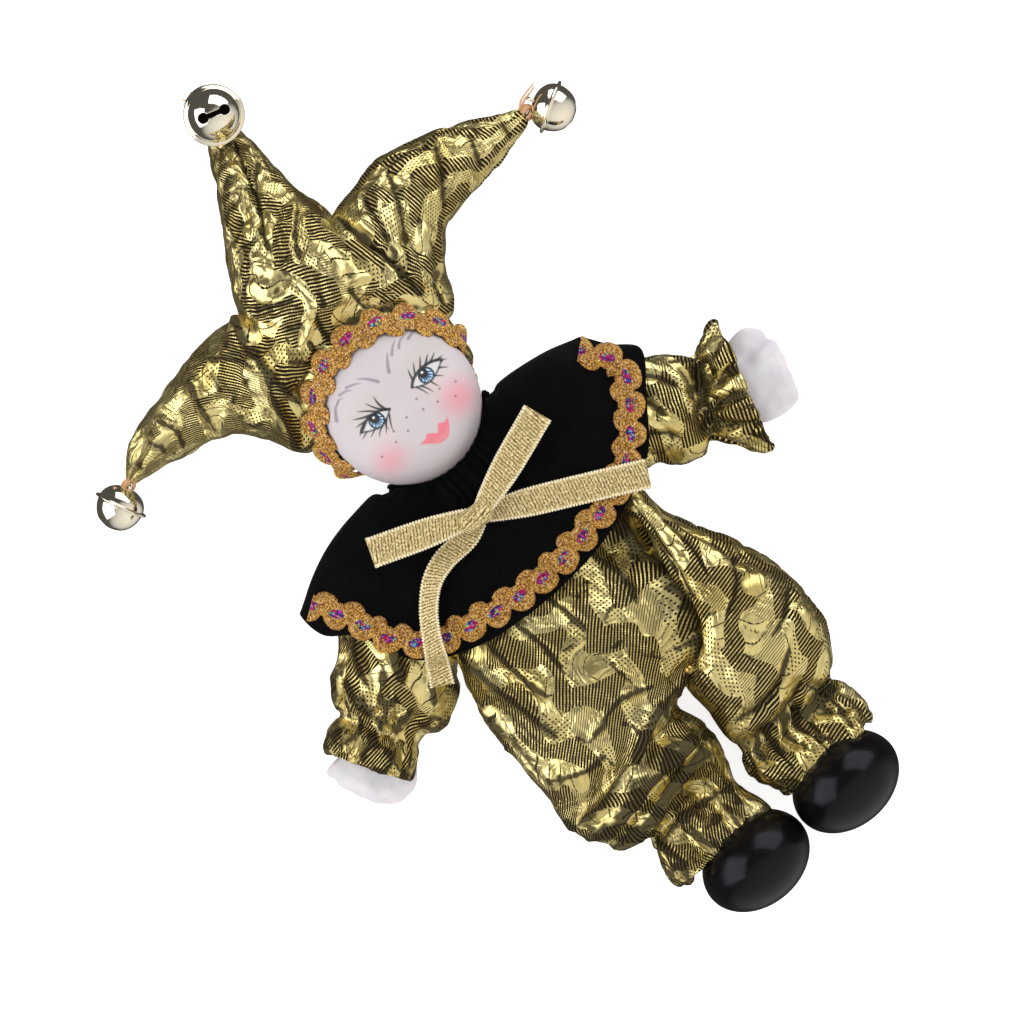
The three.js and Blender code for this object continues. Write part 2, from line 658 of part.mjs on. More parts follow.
function arm(side, grow) {
  const g = grow;
  if (side === "left")
    return {
      palm: limb(
        [
          [-53.4 + g, -9.6 + g, -49.6 + g, -19.6 - g, 6.2 - g, 11.8 + g],
          [-58.6, -9.6 + g, -53.4, -25 - g, 4.6 - g, 13.4 + g],
          [-62.2, -11 + g, -56.4, -25.4 - g, 4.4 - g, 13.2 + g],
          [-63.6, -13.2, -59.4, -22.4, 5.4 - g, 12 + g],
        ],
        { around: 14 },
      ),
      wrist: bar(
        [
          [-56, -16.4, 9],
          [-44, -9.6, 9],
          [-38 + g, -6.2, 9],
        ],
        (t) => 4.4 - 0.6 * t + g,
        { around: 12 },
      ),
    };
  return {
    palm: limb(
      [
        [49.4 - g, -7.6 + g, 45.4 - g, -20 - g, 6.2 - g, 11.8 + g],
        [55.4, -6.6 + g, 50.6, -24.2 - g, 4.6 - g, 13.4 + g],
        [59.6, -7.4 + g, 56, -24.4 - g, 4.4 - g, 13.2 + g],
        [61.6, -13, 59.2, -21.4, 5.4 - g, 12 + g],
      ],
      { around: 14 },
    ),
    wrist: bar(
      [
        [52, -15.4, 9],
        [40, -9.4, 9],
        [34 - g, -6.4, 9],
      ],
      (t) => 4.4 - 0.6 * t + g,
      { around: 12 },
    ),
  };
}
const hands = {};
const handRoom = {};
for (const side of ["left", "right"]) {
  const plain = arm(side, 0);
  const roomy = arm(side, GAP + 0.5);
  hands[side] = union(plain.palm, plain.wrist);
  handRoom[side] = union(roomy.palm, roomy.wrist);
  keep("hand_" + side, hands[side]);
}

// Feet: glossy rounded shoes, toes up, with a white ankle that runs up inside the trouser leg

function foot(x, y, turn, grow, wide = 18, high = 10) {
  const shoe = new THREE.SphereGeometry(1, wide, high);
  const p = shoe.attributes.position;
  for (let i = 0; i < p.count; i++) {
    let [a, b, c] = [p.getX(i), p.getY(i), p.getZ(i)];
    const narrow = 1 - 0.1 * Math.max(0, -c);
    const sole = b < 0 ? 0.97 : 1.02;
    p.setXYZ(i, a * (11.75 + grow) * narrow, b * (9.25 + grow) * sole, 13.9 + c * (13.9 + grow));
  }
  shoe.rotateZ(turn).translate(x, y, 0);
  const lean = [Math.sin(turn), Math.cos(turn)];
  const ankle = bar(
    [
      [x, y - 1, 10],
      [x - lean[0] * 8, y + 8 * lean[1], 10],
      [x - lean[0] * 16 - lean[0] * grow, y + (16 + grow) * lean[1], 10],
    ],
    (t) => 8.6 - 2.4 * t + grow,
    { around: 12 },
  );
  return { shoe: solidFrom(shoe), ankle };
}
const FEET = { left: [-14.8, -84, -0.08], right: [9.1, -85.5, -0.05] };
const footRoom = {};
for (const [side, at] of Object.entries(FEET)) {
  const plain = foot(...at, 0);
  const roomy = foot(...at, GAP + 0.3, 12, 8);
  keep("foot_" + side, union(plain.shoe, plain.ankle).trimByPlane([0, 0, 1], 0), 0.08);
  footRoom[side] = union(roomy.shoe, roomy.ankle);
}

// The back of the cape lies flat under the torso, so the suit is cleared above it.
const capeUnder = [];
for (const row of capeGrid) {
  const hem = row.at(-1);
  if (hem[2] < 3) capeUnder.push([hem[0], hem[1]]);
}
capeUnder.push([40, 22], [-50, 24]);
const underShape = new THREE.Shape(capeUnder.map(([x, y]) => new THREE.Vector2(x, y - 0.6)));
const capeRoom = solidFrom(
  new THREE.ExtrudeGeometry(underShape, { depth: 2.2 + CAPE_THICK + GAP, bevelEnabled: false }).translate(
    0,
    0,
    -2.2,
  ),
);

// Each cuff opens round its hand.
const cuffOpen = [
  limb([
    [-57.4, -7.6, -50, -20.6, 3.4, 13.6],
    [-63.4, -5.6, -54.4, -27, -0.2, 18.4],
  ]),
  limb([
    [51.6, -5.2, 44, -23.4, 3.4, 14],
    [58.6, 0.4, 47.6, -31.4, -0.4, 19.4],
  ]),
];

let suit = union(torso, sleeveLeft, sleeveRight, legLeft, legRight).trimByPlane([0, 0, 1], 0);
const rooms = [capeRoom, neck(GAP), ...cuffOpen, ...Object.values(handRoom), ...Object.values(footRoom)];
for (const room of rooms) suit = suit.subtract(room);
keep("suit", suit, 0.4);

keep("trouser_bead", ballAt(2.8, -46.9, 24.9, 1.1, 1.1, 1.1, 8, 6));

// Ribbon bow: two flat loops, two tails and the knot, one ribbon

function ribbon(path, lift, meshes, wide = RIBBON_WIDTH) {
  const row = evenly(path, Math.max(4, path.length * 2)).points;
  const edges = row.map(([x, y, w], i) => {
    const a = row[Math.max(i - 1, 0)];
    const b = row[Math.min(i + 1, row.length - 1)];
    const l = Math.hypot(b[0] - a[0], b[1] - a[1]);
    const half = ((w ?? 1) * wide) / 2;
    const out = [((b[1] - a[1]) / l) * half, (-(b[0] - a[0]) / l) * half];
    return [
      [x - out[0], y - out[1]],
      [x + out[0], y + out[1]],
    ];
  });
  return strip(layOn(edges, meshes, lift, 0), RIBBON_THICK);
}

const under = [capeMesh, meshOf(capeBraid), meshOf(suit)];
const BOW = { knot: [-5, 4.3], left: [-25.3, 13.9], right: [17.2, 10.2] };
const tails = [
  ribbon(
    [
      [-5, 4.3],
      [24.5, -13.7],
    ],
    GAP,
    under,
  ),
  ribbon(
    [
      [-5, 3.6, 1],
      [-10, 2.4, 0.95],
      [-16.8, 3.0, 0.75],
      [-22.4, 1.0, 0.7],
      [-27.1, -3.5, 0.7],
      [-30.3, -8.3, 0.75],
      [-34.3, -14.7, 0.8],
    ],
    GAP,
    under,
  ),
];
function loop(end) {
  const [kx, ky] = BOW.knot;
  const z = 27.2;
  const l = Math.hypot(end[0] - kx, end[1] - ky);
  const dir = [(end[0] - kx) / l, (end[1] - ky) / l];
  const side = new THREE.Vector3(-dir[1], dir[0], 0).multiplyScalar(RIBBON_WIDTH / 2);
  const profile = [
    [0, 1.5],
    [l * 0.6, 0.8],
    [l - 0.8, 0.8],
    [l - 0.1, 1.6],
    [l - 0.8, 2.5],
    [l * 0.6, 2.6],
    [0, 2.2],
  ];
  const edges = profile.map(([s, up]) => {
    const p = new THREE.Vector3(kx + dir[0] * s, ky + dir[1] * s, z + up);
    return [p.clone().sub(side), p.clone().add(side)];
  });
  return strip(edges, RIBBON_THICK);
}
const knot = ballAt(...BOW.knot, 28.8, 4.5, 2.7, 1.9, 12, 6);
keep("ribbon_bow", union(knot, loop(BOW.left), loop(BOW.right), ...tails));

// Centre the whole doll on the origin, its underside at z = 0

const box = new THREE.Box3();
for (const part of made.values()) {
  const b = part.boundingBox();
  box.expandByPoint(new THREE.Vector3(...b.min));
  box.expandByPoint(new THREE.Vector3(...b.max));
}
const shift = [-(box.min.x + box.max.x) / 2, -(box.min.y + box.max.y) / 2, -box.min.z];

const COLOURS = {
  head: 0xe8e0e4,
  hat: 0xb89a3c,
  hat_braid: 0xc98a3a,
  cape: 0x111113,
  cape_braid: 0xc98a3a,
  suit: 0xa88c38,
  ribbon_bow: 0xd8c27c,
  foot_left: 0x16161a,
  foot_right: 0x16161a,
};
for (const [name, part] of made) {
  const mesh = new THREE.Mesh(
    geometryOf(part.translate(shift)),
    new THREE.MeshStandardMaterial({ color: COLOURS[name] ?? 0xd0c090 }),
  );
  mesh.name = name;
  group.add(mesh);
  if (part.decompose().length !== 1) console.log(name, "bodies", part.decompose().length);
}
console.log("shift", shift.map((v) => v.toFixed(2)).join(" "), "size", box.getSize(new THREE.Vector3()));

export default group;
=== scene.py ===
# A small porcelain clown doll in gold brocade that lies on its back.
# Shapes are worked out in plan millimetres: x to the doll's left side as seen, y towards the hat, z up.
# `metres` turns them into the row's frame.
import math

import bmesh
import bpy
import numpy as np
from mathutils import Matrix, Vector
from mathutils.bvhtree import BVHTree


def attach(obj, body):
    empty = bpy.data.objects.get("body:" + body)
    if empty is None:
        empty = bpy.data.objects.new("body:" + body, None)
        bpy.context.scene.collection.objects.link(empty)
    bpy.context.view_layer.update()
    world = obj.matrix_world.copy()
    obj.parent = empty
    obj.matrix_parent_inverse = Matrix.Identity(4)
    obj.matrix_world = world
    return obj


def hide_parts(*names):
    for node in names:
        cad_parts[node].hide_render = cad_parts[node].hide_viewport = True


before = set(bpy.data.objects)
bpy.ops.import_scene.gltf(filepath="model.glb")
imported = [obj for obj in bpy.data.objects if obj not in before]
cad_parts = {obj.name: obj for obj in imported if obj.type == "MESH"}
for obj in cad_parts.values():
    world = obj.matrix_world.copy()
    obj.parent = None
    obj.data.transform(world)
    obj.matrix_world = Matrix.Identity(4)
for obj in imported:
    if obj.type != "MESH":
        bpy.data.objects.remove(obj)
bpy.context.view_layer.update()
ROW_SHIFT = np.array([-2.899, -5.980, 0.0])  # from plan millimetres to the row's millimetres

HEAD = np.array([-0.4, 31.0, 18.0])
HEAD_R = 16.45
LOWEST = 0.05  # how close cloth comes to the table
CAMERA_FAR = 1024.0  # from the camera down to the height it aims at
CAMERA_AIM = 15.0
BRIM_TILT = math.radians(31)
BRIM_ROLL = math.radians(-4)
BRIM_NARROW = 0.955  # the brim is this much narrower across than along


# Numbers and noise


def metres(points):
    return (np.asarray(points, float) + ROW_SHIFT) * 0.001


def unit(v):
    v = np.asarray(v, float)
    return v / np.maximum(np.linalg.norm(v, axis=-1, keepdims=True), 1e-12)


def ramp(value, low, high):
    """0 below low, 1 above high, smooth between."""
    t = np.clip((np.asarray(value, float) - low) / (high - low), 0, 1)
    return t * t * (3 - 2 * t)


def circle(count):
    """Angles evenly round a circle."""
    return np.arange(count) / count * 2 * np.pi


def lattice(ix, iy, iz, seed):
    """A repeatable random number in 0..1 for each whole-number place."""
    h = (ix * 374761393 + iy * 668265263 + iz * 1274126177 + seed * 1442695041) & 0xFFFFFFFF
    h = ((h ^ (h >> 13)) * 1274126177) & 0xFFFFFFFF
    h = ((h ^ (h >> 16)) * 2246822519) & 0xFFFFFFFF
    return ((h ^ (h >> 15)) & 0xFFFFFF) / float(0xFFFFFF)


def noise(points, size, seed=1):
    """Smooth value noise in -1..1, with lumps about `size` millimetres apart."""
    p = np.asarray(points, float) / size + 1000
    whole = np.floor(p).astype(np.int64)
    part = p - whole
    part = part * part * part * (part * (part * 6 - 15) + 10)
    total = 0
    for dx in (0, 1):
        for dy in (0, 1):
            for dz in (0, 1):
                weight = 1
                for k, d in enumerate((dx, dy, dz)):
                    weight = weight * (part[..., k] if d else 1 - part[..., k])
                total = total + weight * lattice(
                    whole[..., 0] + dx, whole[..., 1] + dy, whole[..., 2] + dz, seed
                )
    return total * 2 - 1


def smooth(rows, per):
    """Catmull-Rom through rows of numbers, `per` steps between two rows."""
    rows = np.asarray(rows, float)
    t = (np.arange(per) / per)[:, None]
    out = []
    for i in range(len(rows) - 1):
        a, b = rows[max(i - 1, 0)], rows[i]
        c, d = rows[i + 1], rows[min(i + 2, len(rows) - 1)]
        out.append(
            0.5
            * (2 * b + (c - a) * t + (2 * a - 5 * b + 4 * c - d) * t**2 + (3 * b - a - 3 * c + d) * t**3)
        )
    return np.vstack(out + [rows[-1:]])


def nearest(x, y, path):
    """Distance from each x, y to a path in plan, and how far along the path that is, as a share."""
    path = np.asarray(path, float)
    reach = np.concatenate([[0], np.cumsum(np.linalg.norm(np.diff(path, axis=0), axis=1))])
    best, share = np.full(x.shape, 1e3), np.zeros(x.shape)
    for i in range(len(path) - 1):
        a, b = path[i], path[i + 1]
        ab = b - a
        t = np.clip(((x - a[0]) * ab[0] + (y - a[1]) * ab[1]) / max(ab @ ab, 1e-9), 0, 1)
        far = np.hypot(x - a[0] - t * ab[0], y - a[1] - t * ab[1])
        closer = far < best
        best = np.where(closer, far, best)
        share = np.where(closer, (reach[i] + t * (reach[i + 1] - reach[i])) / reach[-1], share)
    return best, share


def evenly(rows, step=None, count=None):
    """The smooth curve through rows, resampled at even distances."""
    fine = smooth(rows, 24)
    moved = np.sqrt((np.diff(fine, axis=0) ** 2).sum(1) * 3 / fine.shape[1])
    reach = np.concatenate([[0], np.cumsum(moved)])
    if count is None:
        count = max(2, int(round(reach[-1] / step)))
    want = np.linspace(0, reach[-1], count + 1)
    return np.stack([np.interp(want, reach, fine[:, k]) for k in range(fine.shape[1])], 1)


# Meshes


def placed(name, data):
    """A new object in the scene."""
    made = bpy.data.objects.new(name, data)
    bpy.context.scene.collection.objects.link(made)
    return made


def read(mesh, key):
    """Three numbers of every vertex, such as its place or its normal."""
    values = np.empty(len(mesh.vertices) * 3, np.float32)
    mesh.vertices.foreach_get(key, values)
    return values.reshape(-1, 3)


def piece(name, points, faces, slot, stands_for=(), material=None, marks=None):
    """Makes a named object from plan points and faces and ties it to the doll."""
    mesh = bpy.data.meshes.new(name)
    mesh.from_pydata(metres(points).tolist(), [], faces if isinstance(faces, list) else faces.tolist())
    mesh.update()
    mesh.shade_smooth()
    for key, (domain, kind, values) in (marks or {}).items():
        field = mesh.attributes.new(key, kind, domain)
        field.data.foreach_set(
            "color" if "COLOR" in kind else "vector" if "VECTOR" in kind else "value",
            np.asarray(values, np.float32).ravel(),
        )
    made = placed(name, mesh)
    if material:
        mesh.materials.append(material)
    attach(made, "root")
    if stands_for:
        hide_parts(*stands_for)
    return made


def grid_faces(rows, around, closed=True):
    """Quads of a grid of rows x around points, and each corner's (row, column) with no wrap."""
    i, j = np.meshgrid(np.arange(rows - 1), np.arange(around if closed else around - 1), indexing="ij")
    i, j = i.ravel(), j.ravel()
    corner_i = np.stack([i, i, i + 1, i + 1], 1)
    corner_j = np.stack([j, j + 1, j + 1, j], 1)
    faces = corner_i * around + corner_j % around
    return faces, corner_i, corner_j


def grid_normals(grid, closed=True):
    """Outward unit normals of a grid of points."""
    along = np.gradient(grid, axis=0)
    if closed:
        across = np.roll(grid, -1, axis=1) - np.roll(grid, 1, axis=1)
    else:
        across = np.gradient(grid, axis=1)
    return unit(np.cross(across, along))


def signed_power(v, power):
    return np.sign(v) * np.abs(v) ** power


def limb_rings(stations, step, around, power=0.85):
    """Rings of a stuffed limb.

    A station is ax, ay, bx, by, low, high: two edges in plan, underside and top.
    """
    rows = evenly(stations, step)
    angle = np.linspace(0, 2 * np.pi, 361)
    side = signed_power(np.cos(angle), power) / 2
    up = signed_power(np.sin(angle), power) / 2
    rings = []
    for ax, ay, bx, by, low, high in rows:
        ring = np.stack(
            [
                (ax + bx) / 2 + (ax - bx) * side,
                (ay + by) / 2 + (ay - by) * side,
                (low + high) / 2 + (high - low) * up,
            ],
            1,
        )
        reach = np.concatenate([[0], np.cumsum(np.linalg.norm(np.diff(ring, axis=0), axis=1))])
        want = np.linspace(0, reach[-1], around + 1)[:-1]
        rings.append(np.stack([np.interp(want, reach, ring[:, k]) for k in range(3)], 1))
    return np.array(rings)


# Brim frame: the plane of the hat's edge round the face

brim_out = np.array([0, -math.sin(BRIM_TILT), math.cos(BRIM_TILT)])
turn = np.array(
    [
        [math.cos(BRIM_ROLL), -math.sin(BRIM_ROLL), 0],
        [math.sin(BRIM_ROLL), math.cos(BRIM_ROLL), 0],
        [0, 0, 1],
    ]
)
brim_out = turn @ brim_out
brim_x = unit(np.cross([0.0, 1.0, 0.0], brim_out))
brim_y = np.cross(brim_out, brim_x)
BRIM_AXES = np.array([brim_x, brim_y, brim_out])


def to_brim(points):
    return (np.asarray(points) - HEAD) @ BRIM_AXES.T


def from_brim(points):
    return HEAD + np.asarray(points) @ BRIM_AXES


# Brocade pieces. Each is one tube of cloth with its own stations.

TROUSER_LEFT = [
    [-24, -4, 9, -4, 2, 23.4],
    [-28.5, -12, 10, -12, 0.8, 24.2],
    [-30.8, -18, 9.6, -18, 0.2, 24.4],
    [-33.4, -26, 10.2, -26, 0, 25],
    [-34.4, -36, 9.6, -36, 0, 25.6],
    [-35.6, -43, 6.8, -43.0, 0, 25.2],
    [-36.2, -49, 3.4, -46.8, 0, 24.2],
    [-36.4, -53, -3.8, -50.4, 0, 22.6],
    [-35.6, -56.2, -3.0, -55.2, 0, 25.2],
    [-34.0, -59.0, -2.8, -58.4, 0, 21.6],
    [-32.4, -61.2, -3.0, -61.0, 0, 23.0],
    [-29.0, -63.4, -4.0, -63.6, 0, 20.4],
    [-26.4, -65.8, -5.4, -66.6, 0, 18.4],
    [-27.8, -68.8, -6.2, -70.2, 0, 19.8],
    [-29.8, -74.0, -5.8, -75.2, 0, 21.2],
    [-29.2, -77.4, -5.6, -79.0, 0.2, 21.2],
    [-28.0, -76.6, -6.4, -77.8, 1.2, 20.2],
    [-26, -71, -8, -72, 4, 17.6],
]
TROUSER_RIGHT = [
    [20.4, -6, 15.8, -6, 6, 22],
    [21.2, -13, 14.6, -13, 3, 23],
    [22.0, -20, 13.2, -20, 0.8, 24.2],
    [23.6, -26.4, 10.8, -26, 0, 25.2],
    [27.0, -34.4, 7.6, -34.4, 0, 26.2],
    [29.2, -41.2, 4.4, -42, 0, 26.4],
    [30.0, -48, 0.2, -48.4, 0, 25.8],
    [29.9, -54.4, -0.2, -54.6, 0, 24.8],
    [28.4, -60.6, -0.8, -60.4, 0, 23.4],
    [24.8, -66.0, -1.6, -65.6, 0, 19.4],
    [21.0, -69.2, -2.6, -69.4, 0, 18.6],
    [22.2, -73.4, -2.8, -73.4, 0, 20.4],
    [23.2, -77.2, -2.0, -76.8, 0, 21.6],
    [21.8, -80.8, -0.6, -79.6, 0.2, 21.2],
    [20.6, -79.8, 0.2, -78.6, 1.2, 20.2],
    [18.5, -74, 1.5, -74, 4, 17.6],
]
SLEEVE_LEFT = [
    [-18, 11, -12, -12, 3.8, 21],
    [-30, 11.2, -22, -12.6, 1.2, 20.4],
    [-38, 9.0, -29.6, -14.2, 0.4, 19],
    [-44.0, 5.8, -34, -18.8, 0, 18.4],
    [-49.2, 1.6, -39.6, -20.8, 0, 17.4],
    [-52.2, -1.8, -43.8, -19.6, 0.2, 14.4],
    [-53.4, -4.4, -46.6, -19.8, 1.2, 13.2],
    [-56.2, -4.9, -48.8, -22.0, 0.2, 15.6],
    [-60.9, -7.4, -52.6, -24, 0.2, 17.6],
    [-60.2, -8.2, -52.4, -23.2, 1.0, 16.8],
    [-56.6, -7.4, -49.4, -20.6, 2.6, 14.2],
    [-53, -6, -47, -18.4, 4.2, 12.2],
]
SLEEVE_RIGHT = [
    [18, 9.6, 12, -11, 3.8, 21],
    [28, 9.0, 20, -11.6, 1.2, 20.4],
    [35.2, 6.8, 27, -13.0, 0.6, 19],
    [41.6, 2.2, 31.4, -17.2, 0, 18.2],
    [45.2, -1.2, 35.4, -18.8, 0, 16.0],
    [47.4, -3.4, 38.6, -18.6, 1.2, 13.4],
    [50.4, -2.4, 41.8, -24.0, 0.2, 16.2],
    [56.0, -1.4, 46, -28.2, 0.2, 18.2],
    [55.2, -2.6, 46, -27, 1.0, 17.4],
    [50.6, -5, 42.6, -21, 3, 14],
    [47, -5.6, 39.4, -18, 4.2, 12.2],
]
TORSO = [
    [-7, 9.4, 6.4, 9.4, 8.6, 18],
    [-17, 8, 15.6, 8, 5.4, 21.2],
    [-24, 2, 22, 2, 3, 23.6],
    [-27, -6, 22.6, -6, 1.4, 24.0],
    [-27, -13, 21.4, -13, 0.8, 20.6],
    [-27, -20, 20, -20, 0.8, 17.4],
    [-27, -30, 17, -30, 0.8, 15.4],
    [-27, -40, 12, -40, 1.2, 14.0],
    [-22, -45, 6, -45, 3, 12.0],
]
HORN_LEFT = [
    [-2, 62, -6, 40, 1, 25],
    [-11.2, 66.2, -19.6, 37, 0, 23.5],
    [-19, 67.8, -24.2, 45.2, 0, 20.5],
    [-27.9, 67.4, -28.9, 51, 0, 17.5],
    [-36.8, 66.2, -34.6, 53.6, 0, 13.5],
    [-45.4, 63.9, -41.8, 55.7, 0.6, 9.5],
    [-50.6, 60.2, -48.6, 57.4, 2, 6.8],
    [-51.3, 59.4, -50.1, 58.1, 3, 5.4],
]
HORN_MIDDLE = [
    [-13, 42, 17.4, 41, 0, 26],
    [-13.4, 49, 18.2, 48, 0, 26.8],
    [-13.2, 57, 18.4, 57, 0, 26.8],
    [-11.0, 66.6, 16.4, 68, 0, 24],
    [-5.2, 75.6, 15.7, 76, 0, 20.5],
    [1.2, 84.2, 15.5, 83.5, 0, 16],
    [6.2, 92.2, 15.8, 91, 0, 9.5],
    [9.4, 97.4, 16.2, 96.8, 0, 5.2],
    [11.4, 101, 15.8, 100.2, 0.6, 4.4],
    [12.2, 102, 15.0, 101.5, 1.3, 3.8],
    [13.2, 102.5, 14.2, 102.3, 2.2, 3.0],
]
HORN_RIGHT = [
    [4, 62, 8, 40, 1, 25],
    [16.3, 67.6, 19.4, 36.4, 0, 24],
    [23, 68.7, 25.4, 44.2, 0, 21.5],
    [31, 69.2, 32, 50.2, 0, 18.5],
    [41.8, 65.7, 39.8, 50.9, 0, 14.5],
    [50.4, 61.2, 49.4, 51.8, 0.4, 10.5],
    [57.2, 57.2, 56.6, 53, 2.2, 7.4],
    [58.8, 56, 58.5, 54, 3.4, 6.2],
]
CROWN = [
    [-16.8, 28, 16.4, 27, 0, 26],
    [-18.6, 37, 18.4, 36, 0, 25.5],
    [-19.4, 45, 19.8, 44, 0, 24],
    [-15, 53, 17, 53, 0, 23],
    [-8, 60, 12, 61, 0, 18],
]

# Creases pressed into the cloth: path in plan, half width, depth
SUIT_CREASES = [
    ([(14.2, -12), (11.0, -24), (9.0, -34), (7.4, -40), (2.4, -47.2)], 2.2, 6.4),
    ([(-37, -52.8), (-28, -54.4), (-19.5, -52.2), (-12, -49.6), (-4.0, -47.6)], 1.0, 2.0),
    ([(-35.8, -57.4), (-27, -58.4), (-17, -57.2), (-8, -58.2), (-3, -57.2)], 0.8, 1.4),
    ([(-34.4, -60.6), (-26, -63.8), (-16.7, -61.2), (-7, -61.4)], 0.9, 1.7),
    ([(-32.0, -14), (-32.4, -24), (-31.2, -32)], 0.8, 1.1),
    ([(-27.2, -13), (-26.2, -26), (-24.8, -40)], 0.9, 1.7),
    ([(-21.6, -13), (-21.8, -24), (-20.6, -32)], 0.8, 1.3),
    ([(-15.4, -14), (-14.4, -24), (-15.4, -31)], 0.8, 1.2),
    ([(-7.6, -15), (-6.4, -22), (-6.6, -28)], 0.8, 1.0),
    ([(4.6, -15), (5.6, -24), (4.2, -31)], 0.9, 1.5),
    ([(17.8, -15), (16.0, -27), (12.4, -39)], 0.9, 1.6),
    ([(21.6, -18), (20.8, -29), (18, -38)], 0.8, 1.2),
    ([(26, -36), (21, -42), (14, -45)], 0.8, 0.9),
    ([(0.2, -60.6), (8, -62.8), (15, -61.4), (21.4, -57)], 1.0, 1.9),
    ([(1.6, -65.6), (10, -67.0), (18.4, -64.4)], 0.8, 1.3),
    ([(30, -48.6), (24, -52.8), (18, -54)], 0.8, 1.1),
    ([(-21, -43.4), (-12, -41.4), (-5, -44)], 0.8, 1.0),
    ([(-33, -43), (-26, -46.6), (-20, -47)], 0.8, 0.9),
    ([(-28, -68.6), (-18, -67.4), (-6, -70.4)], 0.7, 1.2),
    ([(-26.6, -64), (-25.4, -72), (-27, -78)], 0.7, 1.0),
    ([(-19, -63), (-19.6, -70), (-18, -78)], 0.7, 1.1),
    ([(-11.6, -62), (-11.4, -70), (-12.6, -78)], 0.7, 1.1),
    ([(4.6, -66), (4, -72), (3, -78)], 0.7, 1.0),
    ([(11.6, -66), (12, -72), (10.8, -79)], 0.7, 1.1),
    ([(17.4, -66), (18.4, -73), (18, -80)], 0.7, 1.0),
    ([(-30, 2), (-36, -3), (-40, -10)], 0.9, 1.5),
    ([(-36, 7), (-42, 2), (-45, -5)], 0.8, 1.3),
    ([(-30, -8), (-35, -12), (-39, -17)], 0.8, 1.2),
    ([(-47, 1), (-48.6, -6), (-46, -17)], 0.8, 1.3),
    ([(-52.4, -3), (-50.6, -10), (-46, -19)], 0.8, 1.4),
    ([(-59, -8.6), (-54, -9.6), (-50, -8)], 0.7, 1.2),
    ([(-57, -14), (-52, -12.6), (-48, -10)], 0.7, 1.2),
    ([(-54.8, -19), (-50, -17), (-46, -13)], 0.7, 1.2),
    ([(28, 4), (34, -2), (36, -10)], 0.9, 1.5),
    ([(34, 5), (40, -1), (42, -7)], 0.8, 1.3),
    ([(27, -6), (32, -10), (35, -15)], 0.8, 1.2),
    ([(44, -1), (43.6, -8), (38, -17)], 0.8, 1.4),
    ([(55, -4.4), (49, -6.6), (44, -7)], 0.7, 1.3),
    ([(53, -11), (48, -10.6), (43, -10)], 0.7, 1.3),
    ([(51, -17), (46, -14.6), (41, -13)], 0.7, 1.3),
    ([(48.4, -23), (44, -19.4), (40, -16)], 0.7, 1.2),
]
HAT_CREASES = [
    ([(-11.4, 68.4), (-13.6, 60), (-14.6, 52), (-14.4, 44)], 1.1, 2.4),
    ([(16.2, 70.2), (17.6, 60), (18.6, 52), (17.8, 43)], 1.1, 2.4),
    ([(14, 97), (13, 92), (10, 85), (8, 80), (4, 74), (1.4, 68)], 0.55, 1.4),
    ([(1.4, 68), (2.6, 60), (2, 53)], 0.6, 0.5),
    ([(-26.8, 64.4), (-29, 58), (-30.5, 52)], 0.8, 1.0),
    ([(-14.4, 55), (-19, 46), (-21.6, 38)], 0.9, 1.3),
    ([(-38, 64.6), (-36, 59), (-38, 54.6)], 0.7, 0.8),
    ([(-23, 66), (-17.4, 60), (-15.4, 54)], 0.8, 1.0),
    ([(31.4, 68.4), (27.4, 59), (21, 50)], 0.8, 1.1),
    ([(24, 68), (21.6, 58), (19.6, 50)], 0.8, 1.0),
    ([(42, 65), (38.6, 58), (33, 52)], 0.8, 1.0),
    ([(48, 61), (46, 56), (44, 52)], 0.6, 0.7),
    ([(24.6, 45), (21, 42), (19.4, 37)], 0.8, 1.1),
    ([(-9, 66), (-4, 62), (1, 60)], 0.8, 0.9),
    ([(14.6, 74), (9, 70), (5, 64)], 0.8, 0.9),
    ([(-4, 76), (3, 75), (8, 78)], 0.6, 0.6),
    ([(15, 86), (11.6, 84), (9, 81)], 0.6, 0.8),
    ([(2.6, 86), (7, 84.6), (9, 82)], 0.5, 0.6),
    ([(-11, 53), (-8, 50), (-7, 47)], 0.8, 0.9),
    ([(9, 55), (8, 51), (8.4, 48)], 0.8, 0.9),
    ([(1, 56), (-1, 52), (-1, 49)], 0.8, 0.8),
]


def creased(points, creases):
    """How deep the creases are at places on the cloth, and how strongly painted shade darkens their middles.
    """
    x, y = points[:, 0], points[:, 1]
    total, painted_shade = np.zeros(len(points)), np.zeros(len(points))
    for path, wide, deep in creases:
        far, share = nearest(x, y, smooth(path, 5))
        taper = ramp(share, 0, 0.22) * ramp(1 - share, 0, 0.22) * 0.75 + 0.25
        total += deep * taper * np.exp(-((far / wide) ** 1.3))
        middle = np.exp(-((far / (0.25 + 0.5 * wide)) ** 2))
        painted_shade = np.maximum(painted_shade, min(1.0, 0.35 + 0.3 * deep) * taper * middle)
    return total, painted_shade


def hollows(mesh, place, normal, rounds=12):
    """How deep each vertex lies in the hollows of the cloth, against its surroundings."""
    pairs = np.empty(len(mesh.edges) * 2, np.int32)
    mesh.edges.foreach_get("vertices", pairs)
    count = len(place)
    a, b = pairs[::2], pairs[1::2]
    links = np.maximum(np.bincount(pairs, minlength=count), 1)[:, None]
    around = place
    for _ in range(rounds):
        total = [np.bincount(a, around[b, k], count) + np.bincount(b, around[a, k], count) for k in range(3)]
        around = 0.5 * around + 0.5 * np.stack(total, 1) / links
    return ((around - place) * normal).sum(1)


